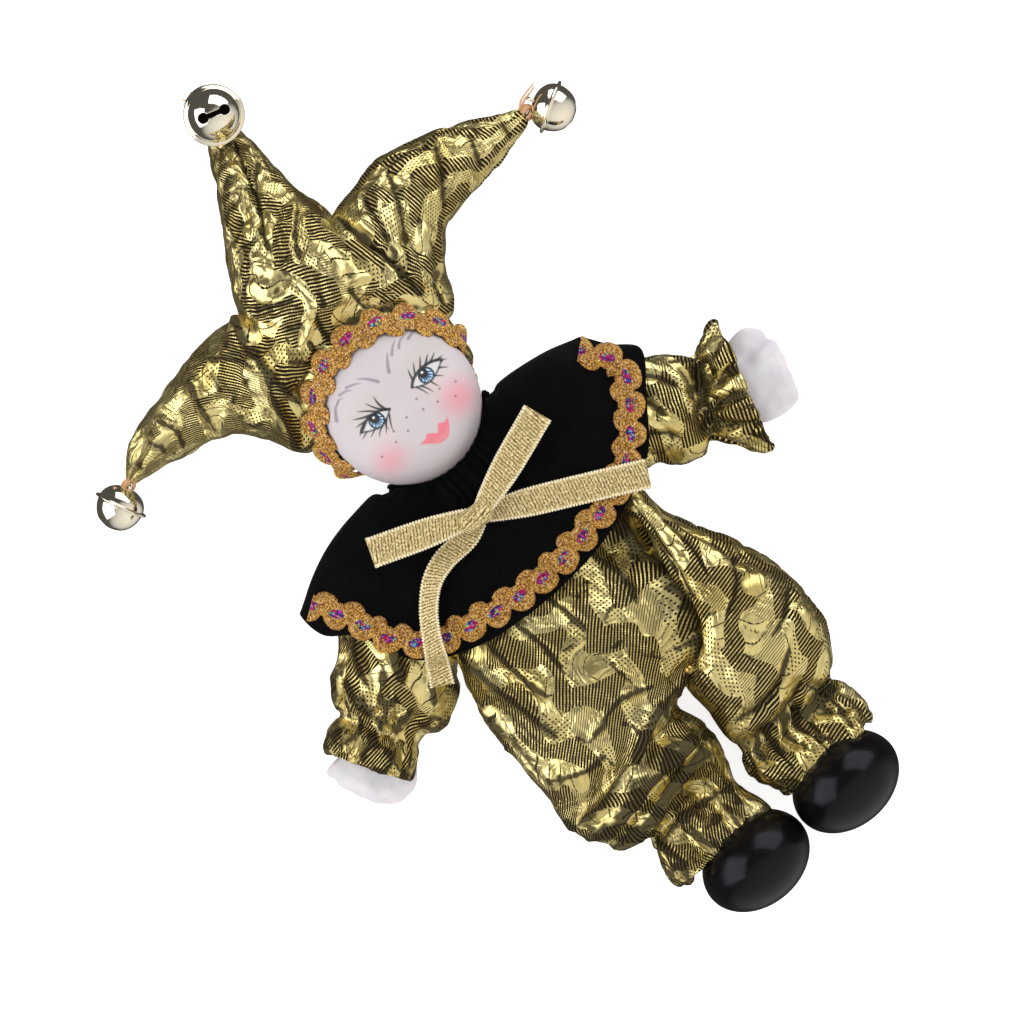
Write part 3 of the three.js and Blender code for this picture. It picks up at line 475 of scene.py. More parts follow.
def press(obj, creases, size, depth, reach):
    """Presses creases and sharp-edged crumples into a refined cloth mesh, along its normals.

    The creases begin at the lower height of `reach` and have their full depth from the higher one.
    """
    mesh = obj.data
    place = read(mesh, "co") * 1000.0 - ROW_SHIFT
    normal = read(mesh, "normal")
    wander = place + 1.2 * np.stack([noise(place, 6, 301), noise(place, 6, 302), noise(place, 6, 303)], 1)
    facets = np.abs(noise(wander, size, 305)) + 0.5 * np.abs(noise(wander, size * 0.45, 306))
    upright = np.maximum(ramp(np.abs(normal[:, 2]), 0.15, 0.5), ramp(place[:, 2], 13, 17))
    folds, shade_share = creased(place, creases)
    above = ramp(place[:, 2], *reach) * upright
    folds = np.minimum(folds, 6.4) * above
    moved = np.minimum(depth * (facets - 0.5), 0.22) - folds
    place = place + normal * moved[:, None]
    place[:, 2] = np.maximum(place[:, 2], LOWEST)
    mesh.vertices.foreach_set("co", metres(place).astype(np.float32).ravel())
    # painted shade: how deep each place lies in a crease or hollow, kept for the brocade to darken it
    shade_share = np.maximum(shade_share * above, ramp(hollows(mesh, place, normal), 0.03, 0.24))
    painted_shade = mesh.attributes.new("painted_crease_shade", "FLOAT", "POINT")
    painted_shade.data.foreach_set("value", shade_share.astype(np.float32))
    mesh.update()


class Cloth:
    """Tubes of brocade in one mesh: points, faces, cloth coordinates and how firmly each is held."""

    def __init__(self):
        self.points, self.faces, self.marks, self.hold = [], [], [], []
        self.count = 0

    def tube(self, stations, around, step=1.26, shape=None, slant=0.0, flip=1, soft=0.06):
        rings = limb_rings(stations, step, around)
        rows = len(rings)
        normals = grid_normals(rings)
        lengths = np.linalg.norm(np.diff(rings.mean(1), axis=0), axis=1)
        widths = np.linalg.norm(np.roll(rings, -1, axis=1) - rings, axis=2).sum(1)
        along = np.concatenate([[0], np.cumsum(np.maximum(lengths, 0.3 * step))])
        share = np.arange(rows) / (rows - 1)
        if shape:
            rings = rings + normals * shape(rings, share)[..., None]
        rings[..., 2] = np.maximum(rings[..., 2], 0.06)
        faces, ci, cj = grid_faces(rows, around)
        girth = np.percentile(widths, 80)
        u = (cj / around - 0.25) * girth * flip
        v = along[ci]
        turned_u = u * math.cos(slant) - v * math.sin(slant)
        turned_v = u * math.sin(slant) + v * math.cos(slant)
        marks = np.stack([turned_u, turned_v, np.full_like(turned_u, float(self.count))], 2)
        weights = np.zeros((rows, around)) + soft
        middle = rings.mean(1)
        hem = int(np.argmax(np.linalg.norm(middle - middle[0], axis=1)))
        weights = np.maximum(weights, np.exp(-(((np.arange(rows) - hem) / 3.5) ** 2))[:, None])
        weights[rings[..., 2] < 0.8] = 1
        weights[0] = weights[-1] = 1
        ends = [rings[0].mean(0), rings[-1].mean(0)]
        base = sum(len(p) for p in self.points)
        points = np.vstack([rings.reshape(-1, 3), ends])
        last = rows * around
        caps = []
        for j in range(around):
            k = (j + 1) % around
            caps.append([last, k, j])
            caps.append([last + 1, last - around + j, last - around + k])
        self.points.append(points)
        self.faces.append((faces + base, np.array(caps) + base))
        self.marks.append(marks)
        self.hold.append(np.concatenate([weights.ravel(), [1, 1]]))
        self.count += 1
        return rings

    def finished(self):
        points = np.vstack(self.points)
        hold = np.concatenate(self.hold)
        quads = np.vstack([f for f, _ in self.faces])
        caps = np.vstack([c for _, c in self.faces])
        marks = np.vstack([m.reshape(-1, 3) for m in self.marks])
        cap_marks = np.zeros((len(caps) * 3, 3))
        faces = quads.tolist() + caps.tolist()
        return points, faces, np.vstack([marks, cap_marks]), hold


def gathers(rings, share, at, spread, waves, depth, seed):
    """Puckers round a tube where it is gathered at a share of its length."""
    around = rings.shape[1]
    angle = circle(around)[None, :]
    wobble = noise(np.stack([np.cos(angle) * 3, np.sin(angle) * 3, angle * 0], -1), 1.0, seed) * 1.4
    near = np.exp(-(((share[:, None] - at) / spread) ** 2))
    return depth * near * np.sin(waves * angle + wobble * 2)


def brocade_suit():
    cloth = Cloth()

    def left_leg(rings, share):
        crumple = 0.5 * noise(rings * [1, 1, 1.3], 5.5, 11)
        ankle = gathers(rings, share, 0.80, 0.06, 13, 0.8, 3) + gathers(rings, share, 0.93, 0.08, 8, 0.7, 4)
        return crumple * (0.5 + ramp(-rings[..., 1], 46, 62)) + ankle

    def right_leg(rings, share):
        crumple = 0.45 * noise(rings, 5.5, 21)
        ankle = gathers(rings, share, 0.80, 0.06, 13, 0.8, 7) + gathers(rings, share, 0.93, 0.08, 8, 0.7, 8)
        return crumple * (0.5 + ramp(-rings[..., 1], 58, 68)) + ankle

    def sleeve(seed):
        def shape(rings, share):
            cuff = gathers(rings, share, 0.60, 0.07, 11, 0.8, seed)
            cuff = cuff + gathers(rings, share, 0.78, 0.09, 7, 0.4, seed + 3)
            return 0.6 * noise(rings, 5, seed) + cuff

        return shape

    cloth.tube(TORSO, 64, shape=lambda rings, share: 0.5 * noise(rings, 4.5, 91), slant=0.9)
    cloth.tube(TROUSER_LEFT, 100, shape=left_leg, slant=0.35)
    cloth.tube(TROUSER_RIGHT, 92, shape=right_leg, slant=-0.3, flip=-1)
    cloth.tube(SLEEVE_LEFT, 66, shape=sleeve(31), slant=0.6)
    cloth.tube(SLEEVE_RIGHT, 66, shape=sleeve(41), slant=-0.5, flip=-1)
    return cloth


def brocade_hat():
    cloth = Cloth()

    def crumpled(seed, amount=1.0):
        return lambda rings, share: amount * 0.4 * noise(rings, 5.5, seed)

    cloth.tube(CROWN, 120, 0.95, crumpled(51, 0.5), soft=0.25)
    cloth.tube(HORN_LEFT, 80, 0.95, crumpled(53), slant=0.5, soft=0.25)
    cloth.tube(HORN_MIDDLE, 96, 0.95, crumpled(55), slant=0.1, soft=0.25)
    cloth.tube(HORN_RIGHT, 84, 0.95, crumpled(57), slant=-0.4, flip=-1, soft=0.25)
    return cloth


# Materials


class Shader:
    """A material's nodes, built with short calls."""

    def __init__(self, name):
        self.material = bpy.data.materials.new(name)
        self.material.use_nodes = True
        self.tree = self.material.node_tree
        self.tree.nodes.clear()
        self.surface = self.node("ShaderNodeBsdfPrincipled")
        out = self.node("ShaderNodeOutputMaterial")
        self.tree.links.new(self.surface.outputs[0], out.inputs[0])

    def feed(self, socket, value):
        if isinstance(value, bpy.types.NodeSocket):
            self.tree.links.new(value, socket)
        else:
            socket.default_value = value

    def node(self, kind, feeds=None, **settings):
        made = self.tree.nodes.new(kind)
        for key, value in settings.items():
            setattr(made, key, value)
        for key, value in (feeds or {}).items():
            self.feed(made.inputs[key], value)
        return made

    def math(self, operation, *values):
        made = self.node("ShaderNodeMath", operation=operation)
        for socket, value in zip(made.inputs, values):
            self.feed(socket, value)
        return made.outputs[0]

    def vector(self, operation, *values):
        made = self.node("ShaderNodeVectorMath", operation=operation)
        for socket, value in zip(made.inputs, values):
            self.feed(socket, value)
        return made.outputs[0]

    def place(self):
        """Where the surface is on its object, in millimetres."""
        made = self.vector("SCALE", self.node("ShaderNodeTexCoord").outputs["Object"])
        made.node.inputs["Scale"].default_value = 1000.0
        return made

    def mark(self, name, output="Fac"):
        """What the mesh carries under a name."""
        return self.node("ShaderNodeAttribute", attribute_name=name).outputs[output]

    def split(self, vector):
        return self.node("ShaderNodeSeparateXYZ", {0: vector}).outputs

    def join(self, x, y, z=0.0):
        return self.node("ShaderNodeCombineXYZ", {0: x, 1: y, 2: z}).outputs[0]

    def ramp(self, value, low, high, a=0.0, b=1.0):
        feeds = {0: value, 1: low, 2: high, 3: a, 4: b}
        return self.node("ShaderNodeMapRange", feeds, interpolation_type="SMOOTHSTEP").outputs[0]

    def mix(self, share, a, b):
        made = self.node("ShaderNodeMix", data_type="RGBA")
        self.feed(made.inputs[0], share)
        self.feed(made.inputs[6], a)
        self.feed(made.inputs[7], b)
        return made.outputs[2]

    def blend(self, share, a, b):
        """Numbers: a where share is 0, b where it is 1."""
        made = self.node("ShaderNodeMix", data_type="FLOAT")
        for key, value in ((0, share), (2, a), (3, b)):
            self.feed(made.inputs[key], value)
        return made.outputs[0]

    def noise(self, vector, scale, detail=2.0, rough=0.5, warp=0.0, which=0):
        feeds = {"Vector": vector, "Scale": scale, "Detail": detail, "Roughness": rough, "Distortion": warp}
        return self.node("ShaderNodeTexNoise", feeds).outputs[which]

    def cells(self, vector, scale, feature="F1", spread=1.0, which=0):
        feeds = {"Vector": vector, "Scale": scale, "Randomness": spread}
        return self.node("ShaderNodeTexVoronoi", feeds, feature=feature).outputs[which]

    def wave(self, along, pitch, phase=0.0):
        """-1..1 every `pitch` millimetres."""
        turns = self.math("MULTIPLY_ADD", along, 2 * math.pi / pitch, phase)
        return self.math("SINE", turns)

    def bump(self, height, distance, strength=1.0, onto=None):
        feeds = {"Height": height, "Distance": distance, "Strength": strength}
        if onto:
            feeds["Normal"] = onto
        return self.node("ShaderNodeBump", feeds).outputs[0]

    def finish(self, **sockets):
        for key, value in sockets.items():
            self.feed(self.surface.inputs[key.replace("_", " ")], value)
        return self.material


def rgb(r, g, b):
    return (r, g, b, 1.0)


def brocade():
    """Gold and black lame: zigzag bands of hatching between leaves of foil with veins, dots or fine weave."""
    s = Shader("gold_brocade")
    mark = s.mark("cloth", "Vector")
    u, v, tube = s.split(mark)
    place = s.join(u, v, s.math("MULTIPLY", tube, 37.0))
    drift = s.vector("SUBTRACT", s.noise(place, 0.13, 0.0, which=1), (0.5, 0.5, 0.5))
    drift = s.vector("MULTIPLY_ADD", drift, (8.0, 8.0, 0.0), place)
    du, dv, dw = s.split(drift)
    # zigzag bands of hatching
    zigzag = s.math("MULTIPLY", s.math("PINGPONG", dv, 8.5), 0.8)
    patchy = s.math("MULTIPLY_ADD", s.noise(place, 0.16, 1.0), 1.6, -0.8)
    band = s.math("ADD", s.wave(s.math("ADD", du, zigzag), 12.0), patchy)
    hatched = s.ramp(band, 0.06, 0.14)
    # leaves: each cell of cloth has its own kind of weave and its own direction
    leaf_place = s.join(s.math("MULTIPLY", du, 0.20), s.math("MULTIPLY", dv, 0.135), dw)
    turn_share, kind, tint_share = s.split(s.cells(leaf_place, 1.0, "F1", 0.9, which=1))
    lean = s.math("MULTIPLY_ADD", turn_share, 2.2, 0.2)
    cos_lean, sin_lean = s.math("COSINE", lean), s.math("SINE", lean)
    over = s.math("ADD", s.math("MULTIPLY", du, cos_lean), s.math("MULTIPLY", dv, sin_lean))
    down = s.math("SUBTRACT", s.math("MULTIPLY", dv, cos_lean), s.math("MULTIPLY", du, sin_lean))
    # hatching: gold weft over dark warp, each line beaded
    slope = s.math("ADD", s.math("MULTIPLY", u, 0.42), s.math("MULTIPLY", v, 0.91))
    cross = s.math("SUBTRACT", s.math("MULTIPLY", u, 0.91), s.math("MULTIPLY", v, 0.42))
    lines = s.math("MULTIPLY_ADD", s.wave(cross, 0.50), 0.22, s.wave(slope, 0.68))
    hatch_gold = s.ramp(lines, 0.23, 0.78)
    dots = s.math("MULTIPLY", s.wave(slope, 1.30), s.wave(cross, 0.95))
    dot_gold = s.ramp(dots, 0.30, 0.60, 1.0, 0.0)
    vein = s.math("MULTIPLY_ADD", s.wave(down, 0.55), 0.03, s.wave(over, 2.7))
    vein_gold = s.ramp(vein, 0.925, 0.985, 1.0, 0.0)
    fine_gold = s.ramp(s.wave(slope, 0.52), -0.9, -0.2)
    foil = s.blend(s.math("GREATER_THAN", kind, 0.64), vein_gold, dot_gold)
    foil = s.blend(s.math("LESS_THAN", kind, 0.14), foil, fine_gold)
    gold = s.blend(hatched, foil, hatch_gold)
    # painted shade: in deep creases and hollows the gold share is cut, so the dark warp colour stands in for
    # the shade there
    painted_crease_shade = s.ramp(s.mark("painted_crease_shade"), 0.1, 0.9, 1.0, 0.08)
    gold = s.math("MULTIPLY", gold, painted_crease_shade)
    # the cloth changes tone a little from leaf to leaf
    fade = s.ramp(s.noise(place, 0.07, 2.0), 0.3, 0.7)
    bright = s.mix(fade, rgb(0.74, 0.585, 0.20), rgb(0.90, 0.76, 0.33))
    tinted = s.math("MULTIPLY", tint_share, s.math("SUBTRACT", 1.0, hatched))
    bright = s.mix(tinted, bright, rgb(1.0, 0.86, 0.40))
    colour = s.mix(gold, rgb(0.014, 0.008, 0.002), bright)
    rough = s.blend(gold, 0.60, s.blend(hatched, 0.32, 0.35))
    metal = s.blend(gold, 0.0, 1.0)
    # relief: creases pressed in the foil, streaks along its floats, threads
    crease = s.noise(s.join(du, dv, dw), 0.24, 2.0, 0.5, 0.5)
    ridge = s.math("ABSOLUTE", s.math("SUBTRACT", crease, 0.5))
    broad = s.bump(ridge, 0.0012, 0.8)
    streak = s.noise(s.join(s.math("MULTIPLY", over, 1.5), s.math("MULTIPLY", down, 0.25)), 1.0, 2.0)
    fine = s.bump(streak, 0.00016, 0.38, broad)
    thread = s.bump(gold, 0.00005, 0.6, fine)
    return s.finish(
        Base_Color=colour, Roughness=rough, Metallic=metal, Normal=thread, Specular_IOR_Level=0.12
    )


# Cloth simulation: the brocade is cut larger than the stuffing, so it buckles into creases

SIM_SCALE = 20.0
SIM_FRAMES = 14


def crumple(points, faces, hold, out_cap, in_cap, slack=0.14):
    """Lets the cloth buckle with Blender's own solver, held softly to its stuffing.

    The movement is capped: little outwards, so that the outline stays, and more inwards, for creases.
    """
    mesh = bpy.data.meshes.new("sim")
    mesh.from_pydata((points * SIM_SCALE * 0.001).tolist(), [], faces)
    mesh.update()
    normals = read(mesh, "normal")
    obj = placed("sim", mesh)
    scene = bpy.context.scene
    group = obj.vertex_groups.new(name="hold")
    for level in np.unique(np.round(hold, 2)):
        where = np.nonzero(np.round(hold, 2) == level)[0]
        group.add(where.tolist(), float(level), "REPLACE")
    cloth = obj.modifiers.new("cloth", "CLOTH")
    settings = cloth.settings
    settings.quality = 5
    settings.mass = 0.3
    settings.tension_stiffness = 20
    settings.compression_stiffness = 20
    settings.shear_stiffness = 8
    settings.bending_stiffness = 0.12
    settings.shrink_min = -slack
    settings.shrink_max = -slack
    settings.vertex_group_mass = "hold"
    settings.pin_stiffness = 1.0
    settings.use_pressure = True
    settings.uniform_pressure_force = 1.0
    settings.effector_weights.gravity = 0
    cloth.collision_settings.use_collision = False
    cloth.collision_settings.use_self_collision = False
    cloth.point_cache.frame_start = 1
    cloth.point_cache.frame_end = SIM_FRAMES
    for step in range(1, SIM_FRAMES + 1):
        scene.frame_set(step)
    shown = obj.evaluated_get(bpy.context.evaluated_depsgraph_get())
    out = read(shown.data, "co") / (SIM_SCALE * 0.001)
    scene.frame_set(1)
    bpy.data.objects.remove(obj)
    moved = out - points
    lift = (moved * normals).sum(1, keepdims=True)
    aside = moved - normals * lift
    far = np.linalg.norm(aside, axis=1, keepdims=True)
    aside *= 0.8 * np.tanh(far / 0.8) / np.maximum(far, 1e-9)
    lift = np.where(lift > 0, out_cap * np.tanh(lift / out_cap), in_cap * np.tanh(lift / in_cap))
    lift *= 0.3 + 0.7 * ramp(np.abs(normals[:, 2:]), 0.15, 0.6)
    out = points + aside + normals * lift
    out[:, 2] = np.maximum(out[:, 2], LOWEST)
    return out


def refine(obj):
    """One level of subdivision, applied."""
    modifier = obj.modifiers.new("finer", "SUBSURF")
    modifier.levels = modifier.render_levels = 1
    with bpy.context.temp_override(object=obj, active_object=obj, selected_objects=[obj]):
        bpy.ops.object.modifier_apply(modifier=modifier.name)


# How far in front of the brim's plane the hat's cloth may come, by distance from the face's middle
BRIM_REACH = [0, 16.8, 17.3, 19.2, 23, 30, 44, 60]
BRIM_FRONT = [-0.4, -0.4, -0.4, -4.2, -4.4, -3.8, -1.5, -0.4]


def behind_brim(points):
    """Keeps the hat's cloth behind the plane of its brim, so that the face stays open."""
    local = to_brim(points)
    r = np.hypot(local[:, 0] / BRIM_NARROW, local[:, 1])
    front = np.interp(r, BRIM_REACH, BRIM_FRONT)
    local[:, 2] = np.minimum(local[:, 2], front)
    out = from_brim(local)
    out[:, 2] = np.maximum(out[:, 2], LOWEST)
    return out


def open_round_head(obj):
    """Removes the hat's faces that would lie inside the head."""
    mesh = obj.data
    edit = bmesh.new()
    edit.from_mesh(mesh)
    centre = metres(HEAD)
    inner = (HEAD_R + 0.35) * 0.001
    hidden = [f for f in edit.faces if all(np.linalg.norm(np.array(v.co) - centre) < inner for v in f.verts)]
    bmesh.ops.delete(edit, geom=hidden, context="FACES")
    edit.to_mesh(mesh)
    edit.free()


BROCADE = brocade()

for name, cloth, node, slot, caps, creases, facets in (
    ("suit_cloth", brocade_suit(), "suit", "suit_brocade", (0.6, 2.2), SUIT_CREASES, (5.0, 0.85, (9, 17))),
    ("hat_cloth", brocade_hat(), "hat", "hat_brocade", (0.2, 0.9), HAT_CREASES, (7.0, 0.6, (4, 10))),
):
    points, faces, marks, hold = cloth.finished()
    if node == "hat":
        points = behind_brim(points)
        hold = np.maximum(hold, 1 - ramp(np.linalg.norm(to_brim(points)[:, :2], axis=1), 21, 27))
    points = crumple(points, faces, hold, *caps)
    if node == "hat":
        points = behind_brim(points)
    made = piece(name, points, faces, slot, [node], BROCADE, {"cloth": ("CORNER", "FLOAT_VECTOR", marks)})
    if node == "hat":
        open_round_head(made)
    refine(made)
    press(made, creases, *facets)


# Head: glazed porcelain with a painted face


def stroke(x, y, points, wide, taper=True, soft=0.08):
    """How much paint a brush stroke leaves at x, y: 1 in it, 0 outside. It thins towards its end."""
    far, share = nearest(x, y, smooth(points, 8) if len(points) > 2 else points)
    half = wide / 2 * (np.sqrt(np.clip(1 - share, 0.02, 1)) if taper else 1)
    return 1 - ramp(far - half, -soft, soft)


def blob(x, y, at, radius, soft, squash=1.0):
    return 1 - ramp(np.hypot(x - at[0], (y - at[1]) / squash), radius - soft, radius + soft)


def inside(x, y, outline, soft=0.1):
    """1 inside a closed outline, 0 outside, with a soft edge."""
    ring = smooth(np.vstack([outline, outline[:1]]), 6)
    distance, _ = nearest(x, y, ring)
    crossings = np.zeros(x.shape, int)
    for a, b in zip(ring[:-1], ring[1:]):
        spans = (a[1] > y) != (b[1] > y)
        crossings += spans & (x < a[0] + (y - a[1]) / (b[1] - a[1] + 1e-12) * (b[0] - a[0]))
    signed = np.where(crossings % 2 == 1, -distance, distance)
    return 1 - ramp(signed, -soft, soft)


# Strokes of the brush on the face: path and width, where the camera sees them
BROWS = [
    ([(-11.9, 37.7), (-10.4, 39.5), (-8.7, 40.3)], 0.62),
    ([(-9.4, 40.0), (-8.6, 40.3), (-7.7, 39.9)], 0.34),
    ([(-7.9, 40.9), (-6.5, 40.6), (-5.3, 39.8)], 0.46),
    ([(-5.9, 41.0), (-4.4, 40.4), (-3.0, 39.5)], 0.48),
    ([(-0.5, 37.4), (-1.8, 39.4), (-3.2, 40.8)], 0.60),
    ([(2.4, 37.2), (3.4, 38.6), (5.0, 40.3)], 0.62),
    ([(5.2, 39.2), (6.4, 40.2), (7.8, 40.9)], 0.50),
    ([(7.2, 39.2), (8.5, 40.1), (10.9, 40.3)], 0.46),
    ([(9.8, 39.2), (11.7, 39.4), (13.1, 38.2), (14.2, 35.2)], 0.50),
]
EYES = [
    {
        "upper": [(-2.8, 31.9), (-4.1, 32.9), (-5.4, 33.35), (-6.7, 33.65), (-8.0, 33.4), (-10.0, 32.5)],
        "lower": [(-2.8, 31.8), (-3.9, 31.2), (-5.4, 30.65), (-6.5, 30.5), (-8.6, 31.5), (-10.0, 32.5)],
        "iris": (-6.18, 32.05),
        "pupil": (-6.24, 32.72),
        "lashes": [
            ([(-3.4, 32.4), (-3.6, 34.2), (-3.3, 35.9)], 0.52),
            ([(-4.0, 33.0), (-4.8, 34.4), (-5.4, 36.1)], 0.40),
            ([(-5.0, 33.4), (-6.4, 34.9), (-7.8, 36.1)], 0.40),
            ([(-6.4, 33.7), (-8.1, 34.6), (-9.5, 35.6)], 0.46),
            ([(-7.9, 33.5), (-9.1, 33.8), (-10.2, 34.0)], 0.40),
            ([(-8.2, 33.4), (-9.7, 33.0), (-10.8, 32.2)], 0.46),
            ([(-3.6, 31.1), (-4.8, 29.4), (-5.3, 28.2)], 0.34),
            ([(-4.6, 30.9), (-5.8, 29.8), (-6.7, 28.8)], 0.36),
            ([(-6.3, 30.5), (-7.5, 29.9), (-8.1, 29.3)], 0.32),
            ([(-7.8, 31.1), (-8.8, 30.7), (-9.5, 30.5)], 0.28),
            ([(-9.2, 31.9), (-10.2, 31.6), (-11.0, 31.4)], 0.30),
            ([(-5.2, 30.7), (-5.6, 30.0), (-5.7, 29.0)], 0.26),
        ],
    },
    {
        "upper": [
            (3.5, 31.8), (4.6, 32.6), (6.1, 33.05), (7.4, 33.15), (9.1, 32.9), (10.4, 32.4), (11.6, 31.6),
        ],
        "lower": [
            (3.5, 31.7), (4.4, 31.0), (5.7, 30.35), (7.2, 30.0), (8.9, 30.35), (10.4, 30.9), (11.6, 31.6),
        ],
        "iris": (7.21, 31.45),
        "pupil": (7.0, 32.28),
        "lashes": [
            ([(4.6, 32.6), (5.0, 33.8), (5.4, 34.9)], 0.48),
            ([(5.6, 33.0), (6.4, 34.1), (7.2, 35.1)], 0.40),
            ([(7.3, 33.2), (8.0, 34.0), (9.1, 35.1)], 0.40),
            ([(8.5, 33.0), (9.4, 33.6), (10.4, 34.3)], 0.46),
            ([(9.6, 32.8), (10.6, 33.1), (11.6, 33.6)], 0.40),
            ([(10.6, 32.2), (11.5, 32.1), (12.4, 32.0)], 0.34),
            ([(4.2, 31.1), (4.6, 29.8), (4.9, 28.4)], 0.32),
            ([(5.0, 30.7), (5.6, 29.3), (5.9, 28.0)], 0.32),
            ([(7.0, 30.0), (7.2, 29.0), (7.5, 28.1)], 0.32),
            ([(8.4, 30.2), (9.2, 29.4), (9.6, 28.9)], 0.28),
            ([(10.1, 30.7), (10.9, 30.1), (11.5, 29.5)], 0.32),
            ([(11.2, 31.3), (12.0, 31.2), (12.5, 30.9)], 0.28),
        ],
    },
]
LIPS = [
    (-3.5, 22.6), (-2.0, 22.55), (-1.0, 23.0), (0.05, 22.3), (0.68, 21.75), (1.3, 22.3), (2.1, 23.0),
    (3.1, 22.35), (4.2, 22.45), (3.35, 21.1), (2.3, 20.05), (1.0, 19.6), (-0.3, 19.85),
    (-1.6, 20.9), (-2.65, 21.9),
]
FRECKLES = [
    (-10.6, 26.2), (-6.5, 26.3), (-5.3, 28.1), (-3.2, 26.2), (-1.5, 28.3), (2.0, 27.1), (2.5, 29.5),
    (5.1, 26.1), (7.2, 27.7), (8.4, 24.4), (10.5, 26.4),
]
SKIN = (0.61, 0.555, 0.585)


def paint_face(x, y):
    """Linear colour of the painted porcelain at plan places as the camera sees them."""
    colour = np.broadcast_to(np.array(SKIN), x.shape + (3,)).copy()

    def lay(share, tint):
        nonlocal colour
        share = np.clip(share, 0, 1)[..., None]
        colour = colour * (1 - share) + np.array(tint) * share

    for at, wide, strength in (((-9.8, 24.6), 3.5, 0.60), ((8.7, 23.9), 4.0, 0.78)):
        far = np.hypot(x - at[0], (y - at[1]) * 1.15)
        lay(strength * np.exp(-((far / wide) ** 2.4)), (0.78, 0.285, 0.345))
    for at in ((-7.0, 35.0), (8.2, 34.6)):
        far = np.hypot((x - at[0]) / 1.9, y - at[1])
        lay(0.46 * np.exp(-((far / 2.4) ** 2)), (0.50, 0.48, 0.39))
    for at in ((-7.2, 29.6), (6.6, 29.0)):
        far = np.hypot((x - at[0]) / 1.8, y - at[1])
        lay(0.30 * np.exp(-((far / 1.7) ** 2)), (0.68, 0.53, 0.44))
    for points, wide in BROWS:
        lay(0.70 * stroke(x, y, points, wide * 1.2, True, 0.16), (0.20, 0.165, 0.23))
    for eye in EYES:
        upper, lower = smooth(eye["upper"], 6), smooth(eye["lower"], 6)
        opening = inside(x, y, np.vstack([upper, lower[::-1][1:-1]]), 0.08)
        lay(opening * 0.45, (0.74, 0.76, 0.74))
        ix, iy = eye["iris"]
        within = np.hypot(x - ix, y - iy)
        iris = blob(x, y, eye["iris"], 1.72, 0.08) * opening
        lay(iris, (0.50, 0.74, 0.94))
        for angle in (-165, -135, -112, -90, -68, -45, -15):
            way = np.array([math.cos(math.radians(angle)), math.sin(math.radians(angle))])
            foot = [np.array(eye["pupil"]) + 0.5 * way, np.array(eye["iris"]) + 1.7 * way]
            lay(iris * stroke(x, y, foot, 0.46), (0.015, 0.06, 0.15))
        lay(iris * ramp(within, 1.16, 1.46), (0.004, 0.012, 0.028))
        lay(0.95 * stroke(x, y, eye["upper"], 0.62, False, 0.12), (0.008, 0.009, 0.012))
        lay(0.78 * stroke(x, y, eye["lower"], 0.42, False, 0.12), (0.02, 0.022, 0.026))
        lay(blob(x, y, eye["pupil"], 1.02, 0.09), (0.002, 0.002, 0.003))
        lay(blob(x, y, (eye["pupil"][0], eye["pupil"][1] + 0.2), 0.24, 0.08), (1, 1, 1))
        for points, wide in eye["lashes"]:
            lay(0.92 * stroke(x, y, points, wide * 1.25, True, 0.11), (0.014, 0.014, 0.016))
    lay(inside(x, y, LIPS, 0.16), (0.80, 0.21, 0.27))
    # painted highlight: the lower part of the lips is lighter pink
    lay(0.4 * inside(x, y, LIPS, 0.3) * ramp(-y, -21.6, -20.0), (0.88, 0.42, 0.46))
    for at in FRECKLES:
        lay(0.80 * blob(x, y, at, 0.23, 0.14), (0.16, 0.08, 0.12))
    return colour


